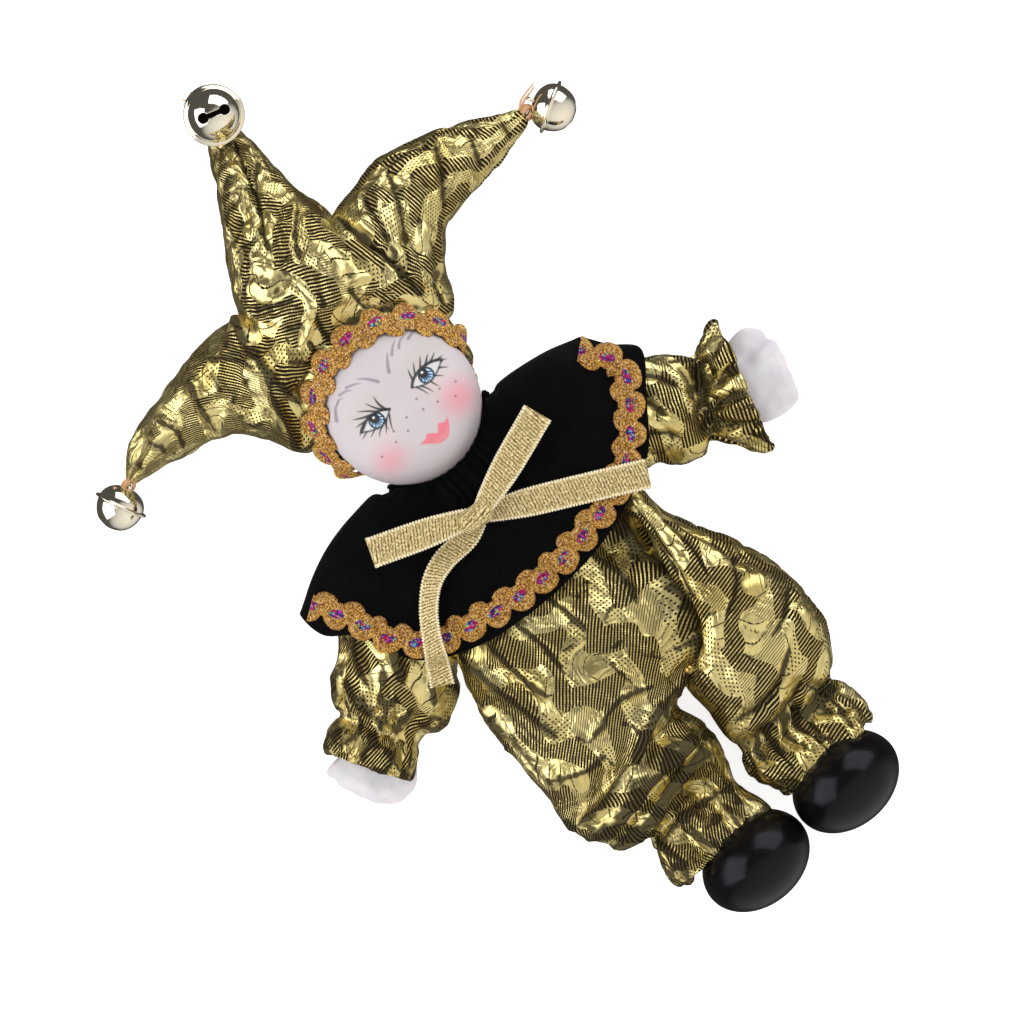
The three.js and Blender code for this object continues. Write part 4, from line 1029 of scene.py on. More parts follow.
def head():
    """A ball whose pole looks up, so that its rings are finest on the face."""
    near = np.linspace(0, 14.6 / HEAD_R, 112)
    tilt = np.concatenate([np.arcsin(near), np.linspace(math.asin(near[-1]), math.pi, 40)[1:]])
    around = 560
    turn_angle = circle(around)
    x = np.sin(tilt)[:, None] * np.cos(turn_angle)
    y = np.sin(tilt)[:, None] * np.sin(turn_angle)
    z = np.repeat(np.cos(tilt)[:, None], around, 1)
    px, py = x * HEAD_R, y * HEAD_R
    top = ramp(z, 0.1, 0.5)
    nose = 0.38 * np.exp(-((px - 0.5) ** 2 / 3.4 + (py + 2.4) ** 2 / 5.5)) * top
    bridge = 0.22 * np.exp(-((px - 0.4) ** 2 / 5 + (py - 0.8) ** 2 / 10)) * top
    sockets = sum(-0.32 * np.exp(-((px - s) ** 2 / 7 + (py - 1.4) ** 2 / 3.2)) for s in (-6.2, 7.0)) * top
    cheeks = sum(0.32 * np.exp(-((px - s) ** 2 + (py + 6) ** 2) / 14) for s in (-8, 8)) * top
    lips = 0.30 * np.exp(-((px - 0.6) ** 2 / 7 + (py + 9.6) ** 2 / 1.8)) * top
    chin = 0.40 * np.exp(-((px - 0.4) ** 2 / 16 + (py + 13.6) ** 2 / 6)) * top
    r = HEAD_R + 0.25 * y * y + nose + bridge + sockets + cheeks + lips + chin
    rings = np.stack([HEAD[0] + x * r * 0.965, HEAD[1] + y * r, HEAD[2] + z * r], -1)
    points = np.vstack([rings[1:-1].reshape(-1, 3), [rings[0, 0]], [rings[-1, 0]]])
    rows = len(tilt) - 2
    faces, _, _ = grid_faces(rows, around)
    last = rows * around
    caps = [[last, j, (j + 1) % around] for j in range(around)]
    base = last - around
    caps += [[last + 1, base + (j + 1) % around, base + j] for j in range(around)]
    faces = faces[:, ::-1]
    colours = np.ones((len(points), 4))
    colours[:, :3] = SKIN
    front = points[:, 2] > HEAD[2] + 2
    seen = CAMERA_FAR / (CAMERA_FAR + CAMERA_AIM - points[front, 2])
    colours[front, :3] = paint_face(points[front, 0] * seen, points[front, 1] * seen)
    s = Shader("glazed_porcelain")
    paint = s.mark("paint", "Color")
    place = s.place()
    cloud = s.noise(place, 0.12, 2.0)
    tone = s.mix(s.ramp(cloud, 0.3, 0.7, 0.0, 0.06), paint, rgb(0.60, 0.56, 0.65))
    dimple = s.bump(s.noise(place, 0.5, 2.0), 0.00004, 0.4)
    material = s.finish(
        Base_Color=tone, Roughness=0.48, Normal=dimple, IOR=1.32, Coat_Weight=0.06, Coat_Roughness=0.25
    )
    marks = {"paint": ("POINT", "FLOAT_COLOR", colours)}
    return piece("porcelain_head", points, faces.tolist() + caps, "porcelain_face", ["head"], material, marks)


# Turned and rounded solids


def closed_tube(rings):
    """Points and faces of a tube of rings with a fan at each end."""
    rows, around = rings.shape[:2]
    faces, _, _ = grid_faces(rows, around)
    points = np.vstack([rings.reshape(-1, 3), rings[0].mean(0), rings[-1].mean(0)])
    last = rows * around
    fans = []
    for j in range(around):
        k = (j + 1) % around
        fans.append([last, k, j])
        fans.append([last + 1, last - around + j, last - around + k])
    return points, faces.tolist() + fans


def join(*shapes):
    """Several (points, faces) as one."""
    points, faces, count = [], [], 0
    for p, f in shapes:
        points.append(np.asarray(p, float))
        faces += [[i + count for i in face] for face in f]
        count += len(p)
    return np.vstack(points), faces


def bar(path, radius, around=10, per=1):
    """A round bar along a path; radius is a number or a function of the share of the path."""
    rows = smooth(path, per) if per > 1 else np.asarray(path, float)
    rings = []
    side = np.array([0.31, 0.17, 0.94])
    for i, p in enumerate(rows):
        ahead = unit(rows[min(i + 1, len(rows) - 1)] - rows[max(i - 1, 0)])
        side = unit(side - ahead * (side @ ahead))
        up = np.cross(ahead, side)
        r = radius(i / (len(rows) - 1)) if callable(radius) else radius
        angle = circle(around)
        rings.append(p + r * (np.cos(angle)[:, None] * side + np.sin(angle)[:, None] * up))
    return closed_tube(np.array(rings)[:, ::-1])


def axes_along(axis, hint):
    """Three unit axes as rows: across, axis and the third, with across near the hint."""
    axis = unit(axis)
    across = unit(np.asarray(hint, float) - axis * (np.asarray(hint, float) @ axis))
    return np.array([across, axis, np.cross(across, axis)])


def turned(profile, at, axes, around=96):
    """A closed turned shape: profile of (radius, height) along the middle axis."""
    angle = circle(around)
    rings = []
    for r, h in profile:
        local = np.stack([r * np.cos(angle), np.full(around, h), -r * np.sin(angle)], 1)
        rings.append(np.asarray(at) + local @ axes)
    return closed_tube(np.array(rings))


# Shoes


def shoe(x, y, turn_angle):
    rows, around = 64, 120
    up = np.linspace(-np.pi / 2, np.pi / 2, rows + 1)[1:-1][:, None]
    side = circle(around)[None, :]
    a, b = np.cos(up) * np.cos(side), np.cos(up) * np.sin(side)
    c = np.repeat(np.sin(up), around, 1)
    narrow = 1 - 0.1 * np.maximum(0, -c)
    sole = np.where(b < 0, 0.97, 1.02)
    px, py, pz = a * 11.75 * narrow, b * 9.25 * sole, 13.9 + c * 13.9
    cs, sn = math.cos(turn_angle), math.sin(turn_angle)
    rings = np.stack([x + px * cs - py * sn, y + px * sn + py * cs, np.maximum(pz, 0.02)], -1)
    return closed_tube(rings)


def ankle(x, y, turn_angle):
    lean = np.array([math.sin(turn_angle), math.cos(turn_angle)])
    path = [[x, y - 1, 10], [x - lean[0] * 8, y + 8 * lean[1], 10], [x - lean[0] * 16, y + 16 * lean[1], 10]]
    return bar(path, lambda t: 8.6 - 2.4 * t, 48, 6)


def black_glaze():
    s = Shader("black_glaze")
    place = s.place()
    haze = s.ramp(s.noise(place, 0.35, 3.0), 0.35, 0.75, 0.20, 0.29)
    tint = s.mix(s.noise(place, 0.1, 1.0), rgb(0.003, 0.003, 0.003), rgb(0.006, 0.005, 0.006))
    ripple = s.bump(s.noise(place, 0.16, 2.0), 0.0003, 0.25)
    return s.finish(
        Base_Color=tint, Roughness=haze, Normal=ripple, IOR=1.3,
        Specular_Tint=rgb(0.82, 0.86, 1.0),
    )


def bisque():
    s = Shader("white_bisque")
    place = s.place()
    tint = s.mix(s.ramp(s.noise(place, 0.25, 2.0), 0.3, 0.7), rgb(0.62, 0.60, 0.655), rgb(0.71, 0.695, 0.735))
    grain = s.bump(s.noise(place, 1.4, 3.0), 0.0001, 0.5)
    return s.finish(
        Base_Color=tint, Roughness=0.5, Normal=grain, Subsurface_Weight=0.25, Subsurface_Scale=0.002
    )


# Hands: flat mittens with the fingers modelled by shallow grooves


PALM_LEFT = [
    [-51.4, -9.2, -48.2, -19.0, 6.2, 11.8],
    [-56.4, -9.8, -51.6, -24.2, 4.8, 13.2],
    [-60.4, -10.0, -55.2, -25.6, 4.4, 13.4],
    [-62.8, -11.2, -58.0, -24.6, 4.8, 12.8],
    [-63.8, -14.0, -60.8, -21.4, 6.2, 11.0],
]
PALM_RIGHT = [
    [47.4, -7.8, 44.0, -19.4, 6.2, 11.8],
    [53.4, -6.8, 49.4, -23.4, 4.8, 13.2],
    [58.0, -6.6, 54.0, -24.8, 4.4, 13.4],
    [60.6, -8.6, 57.4, -24.0, 4.8, 12.8],
    [61.8, -13.0, 60.0, -19.6, 6.2, 11.0],
]


def hand(palm, wrist, sign):
    rings = limb_rings(palm, 0.35, 96, 0.9)
    normals = grid_normals(rings)
    outer = ramp(sign * rings[..., 0], 51 if sign > 0 else 54, 57 if sign > 0 else 59)
    groove = 0
    for at, deep, wide in ((-11.4, 0.8, 0.9), (-15.4, 0.22, 0.8), (-19.0, 0.26, 0.8), (-22.0, 0.2, 0.8)):
        groove = groove + deep * np.exp(-(((rings[..., 1] - at) / wide) ** 2))
    lumps = 0.40 * noise(rings, 4.6, 71) + 0.16 * noise(rings, 2.2, 72)
    rings = rings + normals * (lumps - groove * outer)[..., None]
    return join(closed_tube(rings), bar(wrist, lambda t: 3.5 - 0.7 * t, 32, 4))


# Bells


BELL_FRONT = 1.08  # height of the slotted dome over the ball's radius
BELL_BACK = 0.78  # height of the dome that carries the wire loop
BELL_RIM = 1.16
BELL_WALL = 0.45


def bell_solid(at, r, axis, slot):
    """A hollow ball with a thin rim: its outside, its inside and its axes."""
    axes = axes_along(axis, slot)
    edge = math.asin(0.3 / r)
    low = np.linspace(-np.pi / 2 + 0.03, -edge, 22)
    high = np.linspace(edge, np.pi / 2 - 0.03, 26)

    def dome(radius, angles):
        tall = np.where(angles > 0, BELL_FRONT, BELL_BACK)
        return [(radius * c**0.88, radius * h * s) for c, h, s in zip(np.cos(angles), tall, np.sin(angles))]

    lip = [(r * BELL_RIM - 0.26 + 0.26 * math.cos(a), 0.26 * math.sin(a)) for a in np.linspace(-1.5, 1.5, 9)]
    outer = turned(dome(r, low) + lip + dome(r, high), at, axes)
    inner = turned(dome(r - BELL_WALL, np.linspace(-np.pi / 2 + 0.04, np.pi / 2 - 0.04, 40)), at, axes, 64)
    return outer, inner, axes


def tool_mesh(points, faces):
    mesh = bpy.data.meshes.new("tool")
    mesh.from_pydata((np.asarray(points) * 0.1).tolist(), [], [list(f) for f in faces])
    mesh.update()
    return mesh


def cut(points, faces, tools):
    """Subtracts closed shapes from a closed shape with Blender's exact boolean."""
    made = placed("cut", tool_mesh(points, faces))
    helpers = []
    for tool_points, tool_faces in tools:
        tool = placed("tool", tool_mesh(tool_points, tool_faces))
        helpers.append(tool)
        modifier = made.modifiers.new("cut", "BOOLEAN")
        modifier.operation = "DIFFERENCE"
        modifier.solver = "EXACT"
        modifier.object = tool
    shown = made.evaluated_get(bpy.context.evaluated_depsgraph_get())
    mesh = bpy.data.meshes.new_from_object(shown)
    out = np.array([v.co[:] for v in mesh.vertices]) / 0.1
    new_faces = [list(p.vertices) for p in mesh.polygons]
    for extra in helpers + [made]:
        bpy.data.objects.remove(extra)
    return out, new_faces


BELLS = {
    "left": ([-54.8, 56.8, 5.8], 4.8, [-0.94, -0.33, -0.06], [-0.3, 0.9, 0.3]),
    "middle": ([14.0, 98.6, 12.6], 5.45, [0.02, -0.08, 1], [0.925, -0.38, 0]),
    "right": ([63.3, 52.3, 5.9], 4.85, [0.405, -0.91, 0.05], [0.9, 0.4, 0.15]),
}


def polished_brass():
    s = Shader("polished_brass")
    place = s.place()
    cloud = s.noise(place, 0.3, 3.0)
    tint = s.mix(cloud, rgb(0.98, 0.90, 0.72), rgb(1.0, 0.95, 0.84))
    rough = s.ramp(s.noise(place, 0.9, 3.0), 0.35, 0.8, 0.05, 0.16)
    # painted shade: inside the ball the brass is made dark brown and dull, for the shade there
    hollow = s.mark("hollow")
    tint = s.mix(hollow, tint, rgb(0.05, 0.03, 0.02))
    rough = s.blend(hollow, rough, 0.7)
    metal = s.blend(hollow, 0.97, 0.2)
    dents = s.bump(s.noise(place, 0.35, 2.0), 0.00025, 0.3)
    return s.finish(Base_Color=tint, Roughness=rough, Metallic=metal, Normal=dents)


def old_brass():
    s = Shader("bead_brass")
    place = s.place()
    cloud = s.noise(place, 1.2, 3.0)
    tint = s.mix(cloud, rgb(0.30, 0.20, 0.05), rgb(0.74, 0.55, 0.18))
    return s.finish(Base_Color=tint, Roughness=s.ramp(cloud, 0.3, 0.7, 0.35, 0.2), Metallic=1.0)


def bells(material):
    for name, (at, r, axis, slot) in BELLS.items():
        (points, faces), inside_ball, axes = bell_solid(at, r, axis, slot)
        across, ahead, third = axes
        centre = np.asarray(at, float)
        reach, wide, low, high = 0.42 * r, 0.095 * r, 0.2 * r, r + 1.5
        corners = [
            centre + across * i * reach + ahead * j + third * k * wide
            for i in (-1, 1) for j in (low, high) for k in (-1, 1)
        ]
        quads = [[0, 1, 3, 2], [4, 6, 7, 5], [0, 4, 5, 1], [2, 3, 7, 6], [0, 2, 6, 4], [1, 5, 7, 3]]
        drill = [(0.205 * r, low), (0.205 * r, high)]
        holes = [inside_ball, (np.array(corners), quads)]
        holes += [turned(drill, centre + across * side * reach, axes, 28) for side in (-1, 1)]
        points, faces = cut(points, faces, holes)
        back = centre - ahead * (BELL_BACK * r + 0.35)
        angle = np.linspace(0, 2 * np.pi, 29)
        ring = [back + 1.0 * (math.cos(a) * ahead + math.sin(a) * third) for a in angle[:-1]]
        wire = np.array([
            [p + 0.3 * (math.cos(b) * unit(p - back) + math.sin(b) * across) for b in angle[:-1:2]]
            for p in ring
        ])
        wire_faces, _, _ = grid_faces(len(angle), wire.shape[1])
        wire = np.concatenate([wire, wire[:1]])
        points, faces = join((points, faces), (wire.reshape(-1, 3), wire_faces.tolist()))
        # mark the inside of the ball, which the brass material paints dark as shade
        away = points - centre
        over = away @ ahead
        tall = np.where(over > 0, BELL_FRONT, BELL_BACK) * (r - BELL_WALL)
        beside = np.linalg.norm(away - over[:, None] * ahead, axis=1) / (r - BELL_WALL)
        hollow = (np.hypot(over / tall, beside) < 1.06).astype(float)
        piece(
            "jingle_bell_" + name, points, faces, "bell_metal", ["bell_" + name], material,
            {"hollow": ("POINT", "FLOAT", hollow)},
        )


# Cape of black velvet

CAPE_ROWS = [
    [[13.4, 19.6, 16], [7.6, 12.8, 15], [17, 20.2, 13], [26, 18.4, 11.5], [34.4, 15.8, 8.5]],
    [[12.6, 18.3, 20], [7.2, 12.2, 17.8], [17.5, 17.5, 19.5], [28, 15, 17.5], [37.6, 10.4, 11.5]],
    [[10.6, 16.4, 23.6], [6.2, 11.6, 20.8], [18, 12.4, 23.4], [30, 8.6, 21.6], [41.4, 4.8, 16]],
    [[7.6, 14.7, 25.8], [4.6, 11, 22.6], [16, 4.4, 25.4], [26, -0.2, 23.8], [34.4, -3.6, 20.8]],
    [[4.6, 13.8, 27], [2.8, 10.4, 24], [10.5, 0, 26.2], [18.6, -6.6, 25.4], [26.3, -11.5, 23.4]],
    [[2, 13.4, 27.4], [1.4, 10.2, 24.4], [5, -1.4, 26.4], [8.6, -9.4, 25.9], [12, -16.3, 25.2]],
    [[-0.4, 13.3, 27.5], [-0.4, 10.1, 24.6], [-0.4, -1.6, 26.4], [-0.4, -10, 25.9], [0, -17.5, 25.3]],
    [[-3, 13.4, 27.4], [-2.2, 10.2, 24.4], [-5.8, -1.4, 26.4], [-9.2, -9.4, 25.9], [-12.4, -16.6, 25.2]],
    [[-5.6, 13.8, 27], [-3.6, 10.4, 24], [-11, 0, 26.2], [-17.6, -7.4, 25.6], [-24, -13.9, 24]],
    [[-8.6, 14.7, 25.8], [-5.4, 11, 22.6], [-16, 5, 25.4], [-25.6, -1.4, 24.2], [-34.3, -7.5, 21.4]],
    [[-11.4, 16.4, 23.6], [-7, 11.6, 20.8], [-18, 13, 23.4], [-29, 8.6, 22.4], [-39, 4, 20]],
    [[-13.4, 18.3, 20], [-8, 12.2, 17.8], [-18.5, 18.6, 19.5], [-32, 16, 18.4], [-44.2, 9.3, 14.5]],
    [[-14.2, 19.6, 16], [-8.4, 12.8, 15], [-19, 22.4, 13], [-33, 20.6, 11.5], [-44.7, 15.8, 8.5]],
    [[-13, 18, 11], [-8, 12.6, 11.4], [-18.5, 18.6, 4.5], [-31, 16.5, 3.6], [-42.4, 12.4, 2.4]],
    [[-10, 16.2, 6.4], [-6.6, 12.4, 8.6], [-17, 11.6, 1.5], [-27, 7.8, 0.9], [-37, 4, 0.9]],
    [[-5.4, 14.6, 3.8], [-3.8, 12, 7.2], [-10, 3, 1.1], [-17, -5, 0.9], [-24, -12, 0.9]],
    [[-0.4, 14.2, 3], [-0.4, 12, 6.8], [-0.4, 1, 1.1], [-0.4, -8, 0.9], [-0.4, -16, 0.9]],
    [[4.6, 14.6, 3.8], [3, 12, 7.2], [9, 3, 1.1], [16, -5, 0.9], [23, -11, 0.9]],
    [[9, 16.2, 6.4], [5.8, 12.4, 8.6], [15, 10.6, 1.5], [25, 6.8, 0.9], [34, 3, 0.9]],
    [[12.2, 18, 11], [7.2, 12.6, 11.4], [16, 17, 4.5], [24.5, 15, 3.6], [33, 12.4, 2.4]],
]
CAPE_THICK = 0.7
RUFFLE_R = 17.2  # how close the ruffle comes to the middle of the head


def under_chin(row):
    """Moves a row's ruffle edge in towards the head and adds a lining edge that passes under it."""
    crest = np.array(row[0], float)
    from_head = crest - HEAD
    front = ramp(crest[2], 12, 22)
    aim = unit([from_head[0], from_head[1], from_head[2] * (1 - front) + 3.4 * front])
    near = HEAD + aim * [0.975, 1, 1] * RUFFLE_R
    crest = crest + (near - crest) * (0.2 + 0.8 * front)
    back = crest + [-0.12 * from_head[0], 1.2 + 2.4 * (1 - front), -2.6 * front + 1.6 * (1 - front)]
    outward = unit(back - HEAD)
    back = HEAD + outward * max(np.linalg.norm(back - HEAD), RUFFLE_R)
    seam, shoulder = np.array(row[1], float), np.array(row[2], float)
    seam = seam + (0.55 * crest + 0.45 * shoulder - seam) * (0.35 + 0.6 * ramp(abs(crest[0]), 6, 11))
    return [back, crest, seam] + [np.array(p, float) for p in row[2:]]


def cape_grid():
    """Points of the sheet's upper side: round the neck, then from the lining edge to the hem."""
    flat = np.array([np.ravel(under_chin(row)) for row in CAPE_ROWS])
    n, per = len(flat), 16
    wrapped = np.vstack([flat[-1:], flat, flat[:2]])
    ring = smooth(wrapped, per)[per : per + n * per]
    grid = []
    for row in ring:
        six = row.reshape(6, 3)
        grid.append(np.vstack([smooth(six[:3], 5)[:-1], smooth(six[1:], 14)[14:]]))
    return np.array(grid)


def cape_shape():
    grid = cape_grid()
    around, deep = grid.shape[:2]
    normals = grid_normals(grid.transpose(1, 0, 2)).transpose(1, 0, 2)
    if normals[around // 3, deep // 2, 2] < 0:
        normals = -normals
    turns = circle(around)[:, None]
    down = np.arange(deep)[None, :]
    collar = ramp(down, 2, 6) * (1 - ramp(down, 10, 24))
    uneven = 0.6 + 0.4 * np.sin(7 * turns + 1.1) * np.sin(4 * turns)
    pleats = np.sin(24 * turns + 1.9 * np.sin(5 * turns)) * (0.10 + 0.42 * collar * uneven)
    pleats = pleats * (1 - ramp(down, 14, 36)) * (1 - 0.7 * ramp(np.abs(grid[..., 0]), 8, 13))
    soft = 0.45 * noise(grid, 9, 81) * ramp(down, 14, 32)
    grid = grid + normals * (pleats * ramp(down, 0, 4) + soft)[..., None]
    under = grid - normals * CAPE_THICK
    lift = np.maximum(0, LOWEST - under[..., 2])
    grid[..., 2] += lift
    under[..., 2] += lift
    return grid, under


def cape(material):
    grid, under = cape_shape()
    around, deep = grid.shape[:2]
    upper, _, _ = grid_faces(deep, around)
    order = grid.transpose(1, 0, 2).reshape(-1, 3)
    lower = under.transpose(1, 0, 2).reshape(-1, 3)
    count = len(order)
    faces = upper.tolist() + (upper[:, ::-1] + count).tolist()
    for row in (0, deep - 1):
        for j in range(around):
            a, b = row * around + j, row * around + (j + 1) % around
            faces.append([a, b, b + count, a + count] if row else [b, a, a + count, b + count])
    points = np.vstack([order, lower])
    widths = np.linalg.norm(np.roll(grid, -1, axis=0) - grid, axis=2)
    lengths = np.linalg.norm(np.diff(grid, axis=1), axis=2)
    area = float((lengths * (widths[:, 1:] + widths[:, :-1]) / 2).sum()) * 1e-6
    made = piece("velvet_cape", points, faces, "cape_velvet", ["cape"], material)
    return made, order, upper.tolist(), area


def velvet():
    s = Shader("black_velvet")
    place = s.place()
    nap = s.noise(place, 0.22, 3.0, 0.6)
    pile = s.noise(place, 3.5, 2.0, 0.7)
    tint = s.mix(nap, rgb(0.0012, 0.0012, 0.0014), rgb(0.0045, 0.0042, 0.0048))
    lay = s.bump(s.math("ADD", s.math("MULTIPLY", nap, 0.4), pile), 0.0002, 0.6)
    return s.finish(
        Base_Color=tint, Roughness=0.95, Normal=lay, Specular_IOR_Level=0.05,
        Sheen_Weight=0.035, Sheen_Roughness=0.35, Sheen_Tint=rgb(0.8, 0.8, 0.9),
    )


# Gimp braid: a thick twisted cord that winds from lobe to lobe, with glints of coloured thread


def gimp_relief(s, t, lobe, seed):
    """Height, twist and share of coloured thread at s along and t across a braid; the hem has positive t."""
    height = np.zeros(s.shape)
    twist = np.zeros(s.shape)
    for phase, across, radius in ((0.0, 0.62, 2.72), (0.5, -0.95, 2.35)):
        k = np.round(s / lobe - phase)
        middle = (k + phase) * lobe
        dx, dy = s - middle, t - across
        rho = np.hypot(dx, dy)
        angle = np.arctan2(dy, dx)
        wobble = 0.10 * np.sin(angle * 3 + k * 1.7 + seed)
        far = (rho - 0.56 * radius) / (0.44 * radius + wobble)
        ring = np.sqrt(np.clip(1 - np.where(far < 0, 0.75 * far, far) ** 2, 0, 1))
        loops = 0.5 + 0.5 * np.cos(angle * 30 + 1.3 * k)
        strands = 0.5 + 0.5 * np.cos(2 * np.pi * rho / 0.78)
        grain = loops * (0.55 + 0.45 * strands)
        hollow = 0.16 * np.exp(-((rho / (0.3 * radius)) ** 2))
        mound = ring * (0.74 + 0.38 * grain) - hollow
        higher = mound > height
        twist = np.where(higher, grain, twist)
        height = np.maximum(height, mound)
    k = np.round(s / lobe)
    dx = (s - k * lobe) * 0.9 + 0.35 * (t - 0.2)
    dy = (t - 0.2) * 1.0
    glint = 1 - ramp(np.hypot(dx / 1.45, dy / 0.95), 0.7, 1.15)
    height = np.maximum(height, 0.85 * glint * (0.8 + 0.3 * noise(np.stack([s, t, t * 0], -1), 0.7, 9)))
    return height, twist, glint


def gimp(name, lobes, length, place_at, slot, node, material, closed, seed):
    """Lays a braid: place_at(s, t, h) gives the plan points at height h on the cloth."""
    fine = 0.135
    rows = int(round(length / fine))
    cols = 51
    s = np.linspace(0, length, rows + 1)[: rows if closed else rows + 1]
    t = np.linspace(-3.42, 3.42, cols)
    s, t = np.meshgrid(s, t, indexing="ij")
    lobe = length / lobes
    height, twist, glint = gimp_relief(s, t, lobe, seed)
    points = place_at(s, t, height)
    count = s.shape[0]
    if closed:
        points = np.concatenate([points, points[:1]])
        faces, _, _ = grid_faces(count + 1, cols, False)
        faces = np.where(faces >= count * cols, faces - count * cols, faces)
        points = points[:-1]
    else:
        faces, _, _ = grid_faces(count, cols, False)
    shown = height.ravel() > 0.02
    faces = faces[shown[faces].any(1)]
    used, back = np.unique(faces, return_inverse=True)
    faces = back.reshape(faces.shape)
    flat = points.reshape(-1, 3)[used]
    first = flat[faces[0]]
    if np.cross(first[1] - first[0], first[3] - first[0])[2] < 0 and not closed:
        faces = faces[:, ::-1]
    marks = {
        "twist": ("POINT", "FLOAT", twist.ravel()[used]),
        "glint": ("POINT", "FLOAT", glint.ravel()[used]),
    }
    return piece(name, flat, faces, slot, [node], material, marks)


def gimp_gold():
    s = Shader("gimp_braid")
    place = s.place()
    twist = s.mark("twist")
    glint = s.mark("glint")
    grain_far = s.cells(place, 2.5)
    grain_tone = s.cells(place, 2.5, which=1)
    red, green, blue = s.split(grain_tone)
    top = s.ramp(grain_far, 0.30, 0.85, 1.0, 0.0)
    gold = s.mix(red, rgb(0.86, 0.44, 0.07), rgb(1.0, 0.66, 0.18))
    gold = s.mix(s.ramp(green, 0.78, 0.90), gold, rgb(1.0, 0.70, 0.40))
    # painted shade: the gold is darkened between the thread grains and in the grooves between the loops
    shade = s.mix(s.math("MULTIPLY", top, s.ramp(twist, 0.0, 0.5, 0.6, 1.0)), rgb(0.28, 0.09, 0.012), gold)
    value = s.math("MULTIPLY_ADD", blue, 0.5, 0.35)
    hue = s.node("ShaderNodeCombineColor", {0: green, 1: 0.86, 2: value}, mode="HSV").outputs[0]
    hot = s.mix(s.ramp(red, 0.45, 0.55), rgb(0.66, 0.015, 0.11), rgb(0.05, 0.02, 0.26))
    thread = s.mix(s.ramp(blue, 0.62, 0.75), hot, hue)
    colour = s.mix(s.ramp(glint, 0.25, 0.5), shade, thread)
    rough = s.blend(s.ramp(glint, 0.3, 0.6), 0.42, 0.25)
    relief = s.bump(top, 0.00022, 1.0)
    return s.finish(Base_Color=colour, Roughness=rough, Metallic=0.3, Normal=relief)


BRAID_LINE = [
    [-41.6, 15.4], [-39.4, 11.4], [-37, 6.2], [-35.6, 1], [-31.8, -4.6], [-26.4, -8.4], [-20.8, -10.2],
    [-14.8, -11.8], [-8.3, -12.9], [-1.2, -13.5], [5.5, -13.1], [12, -12.3], [18.4, -10.9], [24.2, -8.1],
    [29.2, -3.8], [33, 0.6], [35.8, 4.8], [34.6, 9.2], [32, 13.2],
]
CAPE_LOBES = 19
HAT_LOBES = 17
GIMP_HALF = 3.4  # half the width of the cape's braid
GIMP_FALL = 0.95  # how far the braid may drop from one column of its width to the next
BAND_FRONT = (16.35, 3.2)
BAND_BACK = (20.3, -3.3)


def plan_shape(made):
    """Plan points and faces of a piece that is already made."""
    points = read(made.data, "co").astype(float) * 1000 - ROW_SHIFT
    return points, [list(p.vertices) for p in made.data.polygons]


class Ground:
    """Height of the top of whatever lies under a plan point."""

    def __init__(self, *shapes):
        points, faces = join(*shapes)
        self.tree = BVHTree.FromPolygons(points.tolist(), faces)

    def top(self, x, y, otherwise=0.0):
        hit = self.tree.ray_cast((float(x), float(y), 90.0), (0.0, 0.0, -1.0))
        return hit[0].z if hit[0] is not None else otherwise


def hem_gimp(ground, material):
    line = evenly(BRAID_LINE, count=160)
    length = float(np.linalg.norm(np.diff(line, axis=0), axis=1).sum())
    reach = np.linspace(0, length, len(line))
    ahead = unit(np.gradient(line, axis=0))
    out = np.stack([ahead[:, 1], -ahead[:, 0]], 1)
    across = np.linspace(-GIMP_HALF, GIMP_HALF, 9)
    heights = np.array([[ground.top(*(p + o * a), -99) for a in across] for p, o in zip(line, out)])
    for k, inner in ((3, 4), (2, 3), (1, 2), (0, 1), (5, 4), (6, 5), (7, 6), (8, 7)):
        heights[:, k] = np.maximum(heights[:, k], heights[:, inner] - GIMP_FALL)
    kernel = np.array([1, 2, 3, 2, 1]) / 9
    heights = np.stack([np.convolve(np.pad(h, 2, "edge"), kernel, "valid") for h in heights.T], 1)

    def place_at(s, t, h):
        x = np.interp(s, reach, line[:, 0]) + t * np.interp(s, reach, out[:, 0])
        y = np.interp(s, reach, line[:, 1]) + t * np.interp(s, reach, out[:, 1])
        row = np.interp(s, reach, np.arange(len(line)))
        col = (t + GIMP_HALF) / (2 * GIMP_HALF) * 8
        i, j = np.clip(row.astype(int), 0, len(line) - 2), np.clip(col.astype(int), 0, 7)
        a, b = row - i, np.clip(col - j, 0, 1)
        z = (
            heights[i, j] * (1 - a) * (1 - b)
            + heights[i + 1, j] * a * (1 - b)
            + heights[i, j + 1] * (1 - a) * b
            + heights[i + 1, j + 1] * a * b
        )
        return np.stack([x, y, z + 0.12 + 1.15 * h], -1)

    return gimp("hem_gimp", CAPE_LOBES, length, place_at, "cape_gimp", "cape_braid", material, False, 3)


def tuck(angle):
    """How far the brim is drawn back behind the head: 1 at the nape, 0 over the forehead and temples."""
    place = np.sin(angle - 0.10)
    return ramp(-place, 0.02, 0.42)


def brim_gimp(material):
    length = 2 * math.pi * (BAND_FRONT[0] + BAND_BACK[0]) / 2

    def place_at(s, t, h):
        angle = s / length * 2 * np.pi
        share = 0.5 + t / 6.3
        low = tuck(angle)
        r = BAND_FRONT[0] + (BAND_BACK[0] - BAND_FRONT[0]) * share + 0.05 + 0.91 * h - 1.5 * low
        d = BAND_FRONT[1] + (BAND_BACK[1] - BAND_FRONT[1]) * share + 0.41 * h - 4.8 * low
        return from_brim(np.stack([BRIM_NARROW * r * np.cos(angle), r * np.sin(angle), d], -1))

    return gimp("brim_gimp", HAT_LOBES, length, place_at, "hat_gimp", "hat_braid", material, True, 5)


# Bow of ribbon


